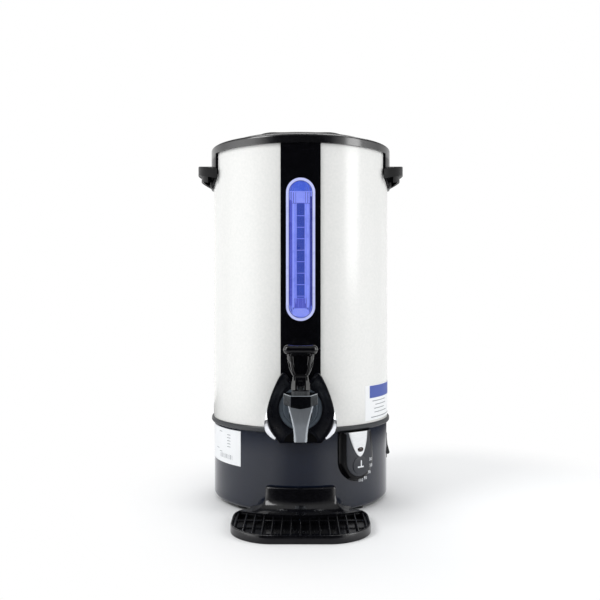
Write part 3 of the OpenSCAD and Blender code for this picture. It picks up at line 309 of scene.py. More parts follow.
def surface(name, tones, rough, grain_mm, bump_mm=0.0, stretch=(1, 1, 1), inputs=None):
    """A procedural finish: noise with a grain of real size shifts its colour and its roughness between two
    values each, and lifts the surface by a real height. Other inputs are set on the shader."""
    made = bpy.data.materials.new(name)
    tree = emptied(made)
    low, high = 0.3, 0.7                        # nearly all of the noise lies between these
    place = add(tree, "TexCoord", out="Object")
    spread = add(tree, "Mapping", {"Vector": place, "Scale": stretch})
    noise = add(tree, "TexNoise", {"Vector": spread, "Scale": 1 / (grain_mm * MM), "Detail": 3.0})
    driven = {"Base Color": add(tree, "ValToRGB", [noise], [(low, tones[0]), (high, tones[1])]),
              "Roughness": add(tree, "MapRange", [noise, low, high, *rough])}
    if bump_mm:
        driven["Normal"] = add(tree, "Bump", {"Height": noise, "Strength": 1.0, "Distance": bump_mm * MM})
    add(tree, "OutputMaterial", [add(tree, "BsdfPrincipled", {**driven, **(inputs or {})})], out=None)
    return made


def shader_of(look):
    """The shader of a finish."""
    return next(node for node in look.node_tree.nodes if node.type == "BSDF_PRINCIPLED")


METAL = {"Metallic": 1.0}

# stove enamel on steel sheet: hard, bright and even, with the faint orange peel of a sprayed coat
enamel = surface("stove_enamel_white", ("DDDEDC", "E3E3E1"), (0.16, 0.24), 3.0, 0.004)
# gloss ABS straight from a polished mould: near black, with sharp reflections and slight sink marks
gloss_abs = surface("moulded_gloss_abs_black", ("050507", "08080B"), (0.05, 0.11), 6.0, 0.004)
# the tray's ABS, from a mould that is a little less polished
tray_abs = surface("moulded_gloss_abs_tray", ("08080A", "0C0C10"), (0.10, 0.18), 4.0, 0.006)
# gloss ABS coloured slate grey, on the base: the same sharp reflections over a faint blue
slate_abs = surface("moulded_gloss_abs_slate", ("0E1524", "111929"), (0.08, 0.14), 5.0, 0.004)
# ABS from a spark-eroded mould: a fine texture that spreads its highlights
satin_abs = surface("textured_abs_dark_grey", ("232629", "2B2E32"), (0.38, 0.52), 0.9, 0.02)
# the same texture on the darker ABS of the panel and dial
panel_abs = surface("textured_abs_panel", ("151922", "1A1E28"), (0.30, 0.42), 0.8, 0.02)
# PBT of the electrical and hidden mouldings: matt and slightly mottled
inner_pbt = surface("moulded_pbt_inner", ("2A2B2D", "323336"), (0.45, 0.6), 1.2, 0.03)
# decorative chrome plate: mirror bright, faintly blue
chrome = surface("plated_chrome_bright", ("DADDE2", "E6E8EC"), (0.05, 0.10), 4.0, 0.002, inputs=METAL)
# chrome on the buffed casting of the tap: a softer and greyer mirror than on flat plate
plated_tap = surface("plated_chrome_tap", ("9CA3AA", "A6ADB3"), (0.07, 0.11), 4.0, inputs=METAL)
# satin plating of the spout, brushed along its length
spout_look = surface("plated_chrome_satin", ("A4AAAF", "AEB4B8"), (0.34, 0.42), 0.6, 0.0, (1, 1, 0.06), METAL)
# bead-blasted plating of the collar, duller than the casting in front of it
collar_look = surface("plated_collar_dull", ("5C656D", "66707A"), (0.42, 0.5), 2.5, 0.002,
                      inputs={"Metallic": 0.85})
# brushed stainless sheet: fine lines round the vessel, drawn coarser than real to show
stainless = surface("brushed_stainless", ("B4B6B8", "CBCDCF"), (0.22, 0.40), 0.35, 0.006, (0.04, 0.04, 1),
                    METAL)
# satin stainless inside the tank, matted by pickling, so that it scatters light down into the depth
tank_steel = surface("satin_stainless_tank", ("C0C2C4", "D0D2D4"), (0.38, 0.50), 0.8, 0.004, (0.3, 0.3, 1),
                     {"Metallic": 0.62})
# zinc plate on pressed and turned steel: pale grey with a soft sheen
zinc = surface("zinc_plated_steel", ("A9ACB0", "C2C4C6"), (0.28, 0.42), 1.5, 0.004, inputs=METAL)
# machined aluminium of the heater plate: soft grey with fine tool marks
aluminium = surface("machined_aluminium", ("B5B7B9", "C6C8CA"), (0.30, 0.42), 0.8, 0.006, inputs=METAL)
# silver lacquer over stamped aluminium, brushed: it stays pale where a bare metal would go dark
silver_plate = surface("satin_silver_plate", ("D2D4D6", "DEE0E2"), (0.30, 0.42), 0.5, 0.003, (0.08, 0.08, 1),
                       {"Metallic": 0.65})
# moulded rubber of the feet: matt black
rubber = surface("moulded_rubber", ("131415", "1B1C1E"), (0.6, 0.8), 0.7, 0.03)
# translucent silicone of seals and elbows: milky, with light a few millimetres deep in it
silicone = surface("translucent_silicone", ("D8D6CC", "E2E0D6"), (0.35, 0.5), 1.5, 0.01,
                   inputs={"Subsurface Weight": 0.3, "Subsurface Radius": (0.004, 0.004, 0.003)})
# drawn copper of the thermostat's bulb: warm, with a soft sheen
copper = surface("drawn_copper", ("B4673A", "C47848"), (0.22, 0.36), 1.0, 0.003, inputs=METAL)
# glass-fibre board under green solder mask
board = surface("circuit_board_green", ("0E3A1E", "165A30"), (0.3, 0.45), 1.5, 0.01)
# extruded silicone cover of the wires: matt red
wire_cover = surface("silicone_wire_cover", ("7E1C16", "97261E"), (0.4, 0.55), 1.0, 0.01)
# coated label paper: a flat near-white, with inks as even films that hardly shine
paper = surface("printed_paper", ("E6E8EA", "EEF0F2"), (0.55, 0.7), 0.25, 0.008)
ink_grey = surface("printed_ink_grey", ("7E8288", "8C9096"), (0.5, 0.6), 0.4)
ink_blue = surface("printed_ink_blue", ("3B4F9C", "4559A8"), (0.45, 0.55), 0.4)
ink_white = surface("printed_ink_white", ("DDE0E4", "E6E8EC"), (0.4, 0.5), 0.4)
# tinted acrylic of the lamp while it is off: nearly black, with a polished face
lamp_lens = surface("lamp_lens_dark_red", ("1C0C0A", "2A100C"), (0.06, 0.12), 2.0, 0.002)
# painted shade: matt black on the corner of the dish that hardly any light gets into
painted_recess_shade = surface("painted_shade_matt_black", ("010102", "020203"), (0.8, 0.9), 1.0,
                       inputs={"Specular IOR Level": 0.08})
# ABS of the shield, from a mould with a light satin: softer mirroring than the strip above it
shield_abs = surface("moulded_abs_shield", ("06070C", "0A0B12"), (0.26, 0.34), 5.0, 0.002,
                     inputs={"Specular IOR Level": 0.15})
# deep black of the panel's rounded border, which mirrors less than the strip
bevel_abs = surface("moulded_abs_bevel", ("040405", "060608"), (0.16, 0.24), 4.0,
                    inputs={"Specular IOR Level": 0.2})
# soft-touch black of the grips, which mirrors hardly at all
grip_abs = surface("moulded_abs_grip", ("060607", "09090B"), (0.3, 0.4), 3.0, 0.003,
                   inputs={"Specular IOR Level": 0.08})
# the lid's ABS, from a matt mould that hides scratches
lid_abs = surface("moulded_abs_lid", ("08080A", "0B0B0D"), (0.45, 0.55), 2.0, 0.004,
                  inputs={"Specular IOR Level": 0.12})
# gloss ABS of the rim: its tongues, below the band, come from a duller part of the mould and mirror much less
rim_abs = surface("moulded_gloss_abs_rim", ("0A0A0C", "0E0E11"), (0.14, 0.2), 5.0, 0.003)
tree = rim_abs.node_tree
height = add(tree, "SeparateXYZ", [add(tree, "TexCoord", out="Object")], out="Z")
mirroring = add(tree, "MapRange", [height, (rim_z - 5) * MM, rim_z * MM, 0.08, 0.75])
tree.links.new(mirroring, shader_of(rim_abs).inputs["Specular IOR Level"])


def clear_material(name, tint, ior, rough):
    """Clear moulding or glass, with a faint waviness of the surface."""
    return surface(name, (tint, tint), (rough, rough + 0.03), 8.0, 0.002,
                   inputs={"Transmission Weight": 1.0, "IOR": ior})


# drawn borosilicate glass: colourless with bright edges
glass_tube = clear_material("clear_borosilicate_tube", "F2F6FA", 1.47, 0.01)
# clear polycarbonate, faintly violet with the light behind it; a low index keeps it from mirroring the room
cover_pc = clear_material("clear_polycarbonate_cover", "E4E6FF", 1.3, 0.02)


def glowing(name, tones, strength, grain_mm):
    """Plastic lit from behind: its glow shifts softly between two tones, over a faint gloss."""
    made = surface(name, tones, (0.25, 0.35), grain_mm)
    shader = shader_of(made)
    made.node_tree.links.new(shader.inputs["Base Color"].links[0].from_socket, shader.inputs["Emission Color"])
    shader.inputs["Emission Strength"].default_value = strength
    return made


# diffusing acrylic over blue LEDs: the less of it that lies over a board, the deeper and darker its blue
lit_rim = glowing("lit_lavender_rim", ("A6ACDA", "B2B8E2"), 0.26, 14.0)
lit_lavender = glowing("lit_lavender_plate", ("6C7CCE", "8A9ADE"), 0.34, 22.0)
lit_deep = glowing("lit_deep_blue_channel", ("1E3A92", "2A4AA6"), 0.31, 18.0)
lit_bright = glowing("lit_blue_dome", ("3A5CBC", "5074D0"), 0.42, 10.0)
lit_violet = glowing("lit_violet_side", ("4850AC", "5660B8"), 0.34, 20.0)
lit_pale = glowing("lit_pale_lavender", ("8E9CDE", "9EAAE8"), 0.34, 9.0)
lit_night = glowing("lit_night_blue_side", ("222C7C", "2C368C"), 0.3, 16.0)
lit_marks = glowing("lit_pale_marks", ("8894DC", "9CA8EA"), 0.45, 6.0)

# ---------- camera, lights, floor ----------

bpy.context.scene.view_settings.view_transform = "Standard"

# fitted to the photograph: level, straight at the front, 981 mm from the urn's axis
camera_distance, camera_height, lens_mm, sensor_mm = 981.0, 249.2, 46.06, 36.0
camera = in_scene("camera", bpy.data.cameras.new("camera"))
camera.data.lens, camera.data.sensor_width = lens_mm, sensor_mm
camera.data.shift_x, camera.data.shift_y = -0.001, -0.0038
camera.location = (np.array([0, -camera_distance, camera_height]) + AXIS) * MM
camera.rotation_euler = (math.pi / 2, 0, 0)
bpy.context.scene.camera = camera


def softbox(name, place, aim_z, size, watts):
    """A lamp of a width and height that faces a point in the urn at a height, all in metres."""
    lamp = bpy.data.lights.new(name, "AREA")
    lamp.shape, lamp.size, lamp.size_y, lamp.energy = "RECTANGLE", size[0], size[1], watts
    obj = in_scene(name, lamp)
    obj.location = place
    x, y, z = np.array([0, 0.05, aim_z]) - place
    obj.rotation_euler = (math.atan2(math.hypot(x, y), -z), 0, math.atan2(y, x) - math.pi / 2)


softbox("key_left", (-1.15, -0.75, 1.35), 0.25, (0.7, 0.9), 15.2)
softbox("fill_right", (1.3, -0.5, 0.8), 0.22, (0.5, 1.1), 8.0)
softbox("top_back", (0.1, 0.9, 1.6), 0.3, (1.2, 0.7), 9)

WHITE = (1, 1, 1, 1)
world = bpy.data.worlds.new("studio")
bpy.context.scene.world = world
tree = emptied(world)
path = add(tree, "LightPath", out=None)
# gloss sees a dark room in front of the urn, a tall bright sheet at either side, and a paler back that
# darkens upwards
way = add(tree, "SeparateXYZ", [add(tree, "TexCoord", out="Generated")], out=None)
to_front = add(tree, "Math", [way["Y"], -1.0], operation="MULTIPLY")
room = add(tree, "ValToRGB", [add(tree, "MapRange", [to_front, -1.0])], [
    (0.0, "848484"), (0.30, "909090"), (0.48, "C0C0C0"), (0.60, "D0D0D0"), (0.72, "CCCCCC"), (0.82, "989898"),
    (0.89, "303033"), (0.94, "0C0C0E"), (1.0, "020203")])
side = add(tree, "MapRange", [way["X"], -0.4, 0.4, 1.0, 0.8])
above = add(tree, "MapRange", [way["Z"], 0.08, 0.5, 1.0, 0.22])
room_strength, ambient_strength = 5.0, 0.66
lit = add(tree, "Math", [side, above], operation="MULTIPLY")
strength = add(tree, "Math", [lit, room_strength], operation="MULTIPLY")
seen_by_gloss = add(tree, "Background", [room, strength])
white = add(tree, "Background", [WHITE, 1.0])
ambient = add(tree, "Background", [WHITE, ambient_strength])
glossy = add(tree, "MixShader", [path["Is Glossy Ray"], ambient, seen_by_gloss])
open_view = add(tree, "Math", [path["Is Camera Ray"], path["Is Transmission Ray"]], operation="MAXIMUM")
add(tree, "OutputWorld", [add(tree, "MixShader", [open_view, glossy, white])], out=None)

# pale studio floor: keeps the shadow near the urn and fades to the white background further out
floor_look = bpy.data.materials.new("pale_studio_floor")
tree = emptied(floor_look)
place = add(tree, "TexCoord", out="Object")
shadow_middle = (0.13, 0.03, 0)
far = add(tree, "VectorMath", [place], out="Value", operation="LENGTH")
shade = add(tree, "VectorMath", [place, shadow_middle], out="Value", operation="DISTANCE")
path = add(tree, "LightPath", out=None)
seen = add(tree, "Math", [path["Is Camera Ray"], path["Is Transmission Ray"]], operation="MAXIMUM")
fade = add(tree, "MapRange", [shade, 0.22, 0.4], interpolation_type="SMOOTHSTEP")
share = add(tree, "Math", [seen, fade], operation="MULTIPLY")
# gloss sees the floor paler to the sides than in front, and dark further out
spot = add(tree, "SeparateXYZ", [place], out=None)
out_x = add(tree, "Math", [spot["X"]], operation="ABSOLUTE")
out_y = add(tree, "Math", [spot["Y"], -1.0], operation="MULTIPLY")
turn = add(tree, "Math", [out_x, out_y], operation="ARCTAN2")
half_turns = add(tree, "Math", [turn, math.pi], operation="DIVIDE")
sides = add(tree, "ValToRGB", [half_turns],
            [(0.0, "A0A0A4"), (0.08, "ACACB0"), (0.2, "F4F4F6"), (1.0, "F4F4F6")])
near = add(tree, "MapRange", [far, 0.38, 0.65, 1.0, 0.04], interpolation_type="SMOOTHSTEP")
dark = (0.002, 0.002, 0.002, 1)
in_gloss = add(tree, "Mix", {0: near, 6: dark, 7: sides}, out=2, data_type="RGBA")
tone = add(tree, "Mix", {0: path["Is Glossy Ray"], 6: colour("EDEEEF"), 7: in_gloss}, out=2, data_type="RGBA")
paint = add(tree, "BsdfPrincipled", {"Base Color": tone, "Roughness": 0.7})
glow = add(tree, "Emission", [WHITE, 1.0])
add(tree, "OutputMaterial", [add(tree, "MixShader", [share, paint, glow])], out=None)
floor_mesh = bpy.data.meshes.new("floor")
floor_half, corners = 0.85, ((-1, -1), (1, -1), (1, 1), (-1, 1))
floor_mesh.from_pydata([(x * floor_half, y * floor_half, 0) for x, y in corners], [], [(0, 1, 2, 3)])
floor_mesh.materials.append(floor_look)
floor = in_scene("floor", floor_mesh)

# ---------- tap ----------


def rounded_box(half_x, y0, y1, radius, n=8):
    """Plan of a box from y0 to y1 with rounded corners, as a closed loop."""
    a, rows = np.radians(np.linspace(0, 90, n)), []
    for x, y, start in ((half_x - radius, y0 + radius, -90), (half_x - radius, y1 - radius, 0),
                        (-half_x + radius, y1 - radius, 90), (-half_x + radius, y0 + radius, 180)):
        turn = a + math.radians(start)
        rows.append(np.column_stack([x + radius * np.cos(turn), y + radius * np.sin(turn)]))
    return np.vstack(rows)


def lifted(plan, z):
    """A plan of (x, y) placed at one height."""
    return np.column_stack([plan, np.full(len(plan), float(z))])


def inset(outline, by):
    """A closed outline moved inwards by a distance, along its own normals."""
    ahead, behind = np.roll(outline, -1, 0), np.roll(outline, 1, 0)
    t = ahead - behind
    t /= np.maximum(np.linalg.norm(t, axis=1, keepdims=True), 1e-9)
    normal = np.column_stack([t[:, 1], -t[:, 0]])
    area = np.sum(outline[:, 0] * ahead[:, 1] - ahead[:, 0] * outline[:, 1])
    return outline - normal * by * (1 if area > 0 else -1)


def tap_lever():
    """Cross bar with rounded, slightly swollen ends; a bell-shaped paddle hollowed to a scoop; two cheeks on
    the pin."""
    bar_r = 5.25
    bar_z = bar_top - bar_r
    # bar: radius falls a little from its round ends to its middle
    a = np.linspace(0, np.pi / 2, 12)
    end = np.column_stack([bar_half - bar_r + bar_r * np.sin(a), bar_r * np.cos(a)])
    body = np.column_stack([np.linspace(0, bar_half - bar_r - 0.4, 12), np.zeros(12)])
    body[:, 1] = bar_r - 0.75 * (1 - smooth(body[:, 0], 8, bar_half - bar_r))
    half = np.vstack([body, end])
    bar = turned_x(np.vstack([half[::-1] * [-1, 1], half[1:]]), stem_y + 1, bar_z)
    # paddle: at each height a closed section, flat lips at its sides and a scoop between them
    v = np.linspace(0, 1, 40)[:, None]
    turn = circle(64)[None, :]
    side = bezier((14.5, 34), (14.3, 24), (12.6, 14.5), (7.4, 7.6), 39)
    width, height = side[:, :1], side[:, 1:]
    across = np.cos(turn)
    front = turn < np.pi
    lip = 1 - smooth(np.abs(across), 0.55, 0.86)
    paddle_thick, scoop_deep, scoop_most, lip_step = 3.6, 4.6, 5.2, 0.5
    step = lip_step * smooth(np.abs(across), 0.68, 0.74) * (1 - smooth(np.abs(across), 0.9, 0.97))
    scoop = scoop_deep * lip * smooth(v, 0.02, 0.16) * (1 - smooth(v, 0.86, 0.99)) - step
    thick = paddle_thick * (1 - np.abs(across) ** 6) ** 0.5
    y = np.where(front, -thick + np.minimum(scoop, scoop_most), thick * 0.8)
    tilt = 1 + 0.8 * (1 - v)
    paddle = np.stack([width * across, stem_y + y + tilt, pin_z + height + 0 * turn], -1)
    # cheeks: the side view of a cam that stays on the bonnet as the lever is pulled forwards, set in towards
    # the front as it goes outwards, so that the front corner slants
    cam_gap, lift, swing = 0.3, 3.0, math.radians(40)
    cam_h = pin_z - bonnet_top
    t = np.linspace(0, 0.69, 9)
    h, k = cam_h - cam_gap + lift * t, lift / swing
    cos, sin = np.cos(swing * t), np.sin(swing * t)
    cam = np.column_stack([-k * cos - h * sin, k * sin - h * cos])
    outline = np.vstack([[[7.5, cam_gap - cam_h]], cam, [[-7.3, 6.5], [-6.0, 8.6], [6.4, 8.4], [7.5, 6.5]]])
    outline = evened(outline[::-1], 96)
    cheeks = []
    for s in (-1, 1):
        rows = []
        for x, back in ((3.5, 0.3), (3.8, 0), (5.7, 0), (6.2, 0.6), (8.6, 3.0), (9.9, 4.4), (10.1, 5.2)):
            row = inset(outline, 0.25 if x in (3.5, 10.1) else 0.0)
            narrow = 1.0 if x < 6 else 1 - 0.17 * smooth(row[:, 1], -4, 9)
            y = np.maximum(row[:, 0], -7.5 + back)
            rows.append(np.column_stack([s * x * narrow * np.ones(len(row)), stem_y + y, pin_z + row[:, 1]]))
        cheeks.append(tube(rows, "az"))
    # web between the cheeks, in front of the stem's eye, open below the pin
    plan = rounded_box(5.9, -7.4, -6.3, 0.4, 4) + [0, stem_y]
    web = [lifted(inset(plan, 0.3), pin_z - 1.2), lifted(plan, pin_z - 0.9), lifted(plan, pin_z + 8.2)]
    plan = rounded_box(8.2, -6.6, 7.2, 1.6, 6) + [0, stem_y]
    bridge = [lifted(plan, pin_z + 4.8), lifted(plan, pin_z + 8.2), lifted(inset(plan, 1.2), pin_z + 9.2)]
    notch = turned_x([(-2.6, 0.01), (-2.6, 0.55), (2.6, 0.55), (2.6, 0.01)], stem_y - 7.45, pin_z + 4.4, 16)
    grids = [bar, tube(paddle, "az"), *cheeks, tube(web, "az"), tube(bridge, "az"), notch]
    build("tap_lever_moulding", grids, "lever", gloss_abs, ["tap_lever"], crease=32)


def tap_casting():
    """Faceted head over a tapering spout, on a round shank that runs back through the shield."""
    head_z0 = tap_z + 10.8
    facet_half, dip = 10.6, 2.2
    plan = evened([(facet_half, -16), (18.3, 4.6), (18.3, 11), (9, 18), (-9, 18), (-18.3, 11), (-18.3, 4.6),
                   (-facet_half, -16)], 240)
    crisp = []
    for z, by in ((head_z0, 0.5), (head_z0 + 0.5, 0), (head_top - 0.6, 0), (head_top, 0.6)):
        row = lifted(inset(plan, by) + [0, stem_y], z)
        if z < head_z0 + 1:                     # the front facet's lower edge dips in a shallow V
            front = smooth(-(row[:, 1] - stem_y), 14.5, 15.6)
            row[:, 2] -= front * dip * (1 - np.abs(row[:, 0]) / facet_half)
        crisp.append(row)
    head = tube(crisp, "az")
    # spout: rounded box whose front leans back as it comes down, then the lip and the bore inside
    rows = []
    for t in np.linspace(0, 1, 16):
        z = head_z0 + 0.5 - t * (head_z0 + 0.5 - spout_z - 0.8)
        half_x = np.interp(t, [0, 0.15, 0.3, 0.45, 0.6, 0.8, 1], [13.3, 11.8, 10.5, 9.2, 8.1, 7.3, 7.0])
        y0, y1 = np.interp(t, [0, 0.5, 1], [-11.4, -10.4, -7.4]), np.interp(t, [0, 1], [15, 8.5])
        corner = np.interp(t, [0, 1], [1.6, 3.4])
        rows.append(lifted(rounded_box(half_x, y0, y1, corner) + [0, stem_y], z))
    last = rounded_box(6.5, -6.9, 8.0, 3.0) + [0, stem_y]
    bore_r, bore_deep = 5.0, 22
    a = np.arctan2(last[:, 1] - stem_y - 0.5, last[:, 0])
    bore = np.column_stack([bore_r * np.cos(a), stem_y + bore_r * np.sin(a)])
    rows += [lifted(last, spout_z + 0.2), lifted(inset(last, 0.5), spout_z), lifted(bore, spout_z),
             lifted(bore, spout_z + bore_deep)]
    spout = tube(rows, "az")
    chamber = turned_z([(0.01, tap_z - 9), (8.4, tap_z - 9), (9.0, tap_z - 8), (9.0, head_z0 + 1),
                        (0.01, head_z0 + 1)], 64, 0, stem_y)
    neck_front, shank_back, bore_end = -stem_y - 4, 84, 110
    shank = turned_y([(0.01, neck_front), (12, neck_front), (12, flange_front + 1.2), (13.4, flange_front + 0.2),
                      (12, flange_front - 0.4), (8.9, flange_front - 1), (8.9, shank_back), (5.5, shank_back),
                      (5.5, bore_end), (0.01, bore_end)], tap_z)
    for name, grids, look in (("tap_casting_polished", [head, chamber, shank], plated_tap),
                              ("tap_spout_satin", [spout], spout_look)):
        build(name, grids, "root", look, ["tap_body"], crease=28)


def tap_collar():
    """Round flange of two stepped rings behind the spout."""
    d0, d1 = strip_r + 2.6, flange_front
    profile = [(9.1, d0), (flange_r - 0.4, d0), (flange_r, d0 + 0.6), (flange_r, d1 - 3.4),
               (flange_r - 0.8, d1 - 2.5), (20.4, d1 - 2.2), (19.9, d1 - 2.5), (19.4, d1 - 2.2),
               (18.9, d1 - 0.6), (18.2, d1), (9.1, d1)]
    build("tap_collar_rings", [turned_y(profile + profile[:1], tap_z, 128)], "root", collar_look,
          ["tap_flange"], crease=30)


def tap_cap():
    """Bonnet over the valve chamber: a low cap round the stem, whose radius goes in and out by a cosine to make
    its knurls. Each ring is that radius times the first number, plus the second."""
    knurls, knurl_h, bore_deep = 36, 0.35, 12
    a = circle(144)
    r = 9.7 - knurl_h * (0.5 + 0.5 * np.cos(knurls * a))
    rows = [np.stack([(r * k + c) * np.sin(a), stem_y - (r * k + c) * np.cos(a), np.full(len(a), z)], -1)
            for k, c, z in ((1, 0, head_top + 0.02), (1, 0, bonnet_top - 0.9), (0, 8.7, bonnet_top - 0.1),
                            (0, 8.2, bonnet_top), (0, 2.6, bonnet_top), (0, 2.6, bonnet_top - bore_deep),
                            (0, 7.3, bonnet_top - bore_deep), (0, 7.3, head_top + 0.02))]
    build("bonnet_cap", [ring(rows)], "root", satin_abs, ["tap_bonnet"])


def valve_spring():
    """Round wire carried along a helix: angle and height grow together, its rings stand square to the path."""
    turns, wire_r, r, travel = 5, 0.6, 4.9, 3.1
    z0, z1 = (corner[2] for corner in span("tap_spring"))
    rise = (z1 - z0 - 2 * wire_r) / turns
    a = np.linspace(0, 2 * np.pi * turns, 24 * turns + 1)[:, None]
    b = circle(10)[None, :]
    slope = math.atan2(rise, 2 * np.pi * r)
    out, up = wire_r * np.cos(b), wire_r * np.sin(b)
    x = (r + out) * np.cos(a) + up * math.sin(slope) * np.sin(a)
    y = (r + out) * np.sin(a) - up * math.sin(slope) * np.cos(a)
    z = z0 + wire_r + rise * a / (2 * np.pi) + up * math.cos(slope) + 0 * out
    wire = tube(np.stack([x, stem_y + y, z], -1), "az")
    coil = build("valve_spring_coil", [wire], "root", stainless, ["tap_spring"])
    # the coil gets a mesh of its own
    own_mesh(coil)


def shroud_outline():
    """Shield outline round the shank: a notch, rounded horns, long flanks and a narrow foot."""
    return mirrored(np.vstack([
        [[0, 28.5], [4, 28.5]],
        bezier((7.5, 28.5), (12, 29.5), (14.5, 40.5), (19.5, 40.5), 9),
        bezier((20.2, 40.4), (24, 39.5), (36.5, 12), (38, -2.6), 14),
        bezier((37.9, -4), (38, -16), (31, -29), (23.5, -37.7), 12)]))


def trim_outline():
    """Outline of the bright corner trim, wider than the shield's foot."""
    return mirrored(np.vstack([
        [[0, 4], [34, 4]],
        bezier((38.6, -2), (42.4, -13), (44.6, -27), (37, -32), 10),
        bezier((36.5, -32.6), (33, -36), (28, -37.6), (23.5, -38), 8)]))


def wall_depth(x, z):
    """How far in front of the axis the urn's wall lies at a place of the front view: base, ring or body."""
    wall = np.where(np.abs(x) < strip_half, strip_r, body_r)
    return arc_depth(x, 0.15 + np.where(z < base_top, base_r, np.where(z < ring_top, ring_r, wall)))


def by_angle(direction, reach, keep):
    """Angles from straight down towards the right, and distances, in order, where keep holds of an outline."""
    angle = np.arctan2(direction[keep, 0], -direction[keep, 1])
    order = np.argsort(angle)
    return angle[order], reach[keep][order]


def rays(outline, n):
    """Directions and lengths from the shank's centre to an outline, at n points along it."""
    points = evened(outline, n)
    reach = np.linalg.norm(points, axis=1)
    return points / reach[:, None], reach


dish_start, dish_floor = flange_r + 0.15, strip_r + 3.0


def dish_depth(s, reach):
    """How far to the front the dish lies at a share s of the way from the collar to an outline at reach."""
    return dish_floor + (shroud_front - 0.9 - dish_floor) * smooth(s, 0.05, 0.97) * smooth(reach, 27, 34)


def tap_shield():
    """Gloss dish: from the collar a floor slopes out to a thin round rim, and a skirt runs back to the wall."""
    direction, reach = rays(shroud_outline(), 420)
    rim_w = 1.05
    rows = []
    for s in np.concatenate([np.linspace(0, 0.8, 18), np.linspace(0.84, 0.97, 8)]):
        least = dish_floor + (shroud_front - 2.5 - dish_floor) * smooth(s, 0.2, 0.97)
        rows.append((dish_start + (reach - dish_start) * s, np.maximum(dish_depth(s, reach), least)))
    crest = rows[-1][1]
    rows += [(reach - rim_w + out * rim_w, crest - back)
             for back, out in ((-0.35, 0.35), (-0.1, 0.75), (0.6, 1.0))]
    points = [np.column_stack([direction[:, 0] * r, -d, tap_z + direction[:, 1] * r]) for r, d in rows]
    for r in (reach, np.full(len(reach), dish_start - 0.2)):
        x, z = direction[:, 0] * r, tap_z + direction[:, 1] * r
        points.append(np.column_stack([x, -wall_depth(x, z), z]))
    build("tap_shield_dish", [ring(points)], "root", shield_abs, ["tap_shroud"], crease=40)
    # painted shade: a matt black arch a hair in front of the dish, behind the spout's end, standing in for the
    # shade of an arched recess that the dish's shape doesn't have
    half_w, foot, rise, hair = 18.5, -36.2, 11.0, 0.12
    t = np.linspace(0, np.pi, 60)
    rows = []
    for k in np.linspace(1, 0.02, 12):
        x, z = half_w * np.cos(t) * k, foot + rise * np.sin(t) * k
        edge = np.interp(np.arctan2(x, -z), *by_angle(direction, reach, direction[:, 1] < 0))
        s = (np.hypot(x, z) - dish_start) / (edge - dish_start)
        rows.append(np.column_stack([x, -(dish_depth(s, edge) + hair), tap_z + z]))
    build("shield_recess", [grid(np.array(rows))], "root", painted_recess_shade)


def corner_trim():
    """Bright crescents outside the shield's lower corners: rounded strips from its skirt to the wall."""
    inner_d, inner_r = rays(shroud_outline(), 1600)
    outer_d, outer_r = rays(trim_outline(), 1600)
    angle = np.radians(np.linspace(30, 96, 70))
    at = np.interp(angle, *by_angle(inner_d, inner_r, inner_d[:, 0] >= 0))
    to = np.maximum(np.interp(angle, *by_angle(outer_d, outer_r, outer_d[:, 0] >= 0)), at + 0.15)
    grids = []
    for side in (-1, 1):
        rows = []
        for v, deep in ((0, 0), (0.02, 0.9), (0.12, 1), (0.3, 0.98), (0.5, 0.9), (0.7, 0.72), (0.85, 0.48),
                        (0.95, 0.22), (1, 0)):
            r = at + (to - at) * v
            x, z = r * np.sin(angle), -r * np.cos(angle)
            crest = arc_depth(x, ring_r + 0.2) + deep * np.minimum(4.2, 0.9 * (to - at))
            depth = crest if deep else wall_depth(x, tap_z + z)
            rows.append(np.column_stack([side * x, -depth, tap_z + z]))
        grids.append(grid(np.array(rows), wrap_rows=True))
    build("corner_trim_plated", grids, "root", chrome, ["shroud_trim"], crease=45)


tap_lever()
tap_casting()
tap_collar()
tap_cap()
valve_spring()
tap_shield()
corner_trim()

# ---------- flat sheets on the round walls ----------


def sheet(outline, r, thick, lip, angle=0.0, centre=0.0):
    """A sheet bent to a round wall, with its front at radius r and its front edge rounded by lip."""
    last = inset(outline, lip)
    rows = [on_wall(p[:, 0], p[:, 1], r + dr, angle) for p, dr in
            ((outline, -thick), (outline, -lip), (inset(outline, 0.3 * lip), -0.3 * lip), (last, 0))]
    rows += [on_wall(centre + (last[:, 0] - centre) * k, last[:, 1], r, angle)
             for k in (0.8, 0.6, 0.4, 0.2, 0.0)]
    return tube(rows)


def oblong(half_w, z0, z1, radius, x=0.0, n=8):
    """Upright rectangle with rounded corners, as a closed outline."""
    return rounded_box(half_w, z0, z1, min(radius, half_w - 0.01, (z1 - z0) / 2 - 0.01), n) + [x, 0]


# ---------- control panel ----------

tongue_top, tongue_shoulder, tongue_tip = base_top - 0.1, base_top - 33, base_top - 58.6
tongue_w = 25.4
t = np.radians(np.linspace(0, 90, 24))
right = np.vstack([[(0, tongue_top), (tongue_w - 4.4, tongue_top)],
                   bezier((tongue_w - 4.4, tongue_top), (tongue_w - 2.6, tongue_top - 10),
                          (tongue_w, tongue_shoulder + 8), (tongue_w, tongue_shoulder), 14)[1:],
                   np.column_stack([tongue_w * np.cos(t),
                                    tongue_shoulder - (tongue_shoulder - tongue_tip) * np.sin(t)])[1:]])
left = right * [-1, 1]
left[1:16, 0] = -tongue_w                       # the left side comes down straight from its upper corner
tongue = evened(np.vstack([right, left[::-1][1:-1]]), 360)


def level_top(outline):
    """The panel's outline with its top edge level with the ring above it."""
    z = np.minimum(outline[:, 1], tongue_top)
    return np.column_stack([outline[:, 0], np.where(tongue[:, 1] > tongue_top - 0.05, tongue_top, z)])


def panel_rows(steps):
    """Sections of the tongue from pairs of an inset and a height above the base."""
    flats = [(level_top(inset(tongue, by)), base_r + proud) for by, proud in steps]
    return [on_wall(flat[:, 0], flat[:, 1], r, panel_angle) for flat, r in flats]


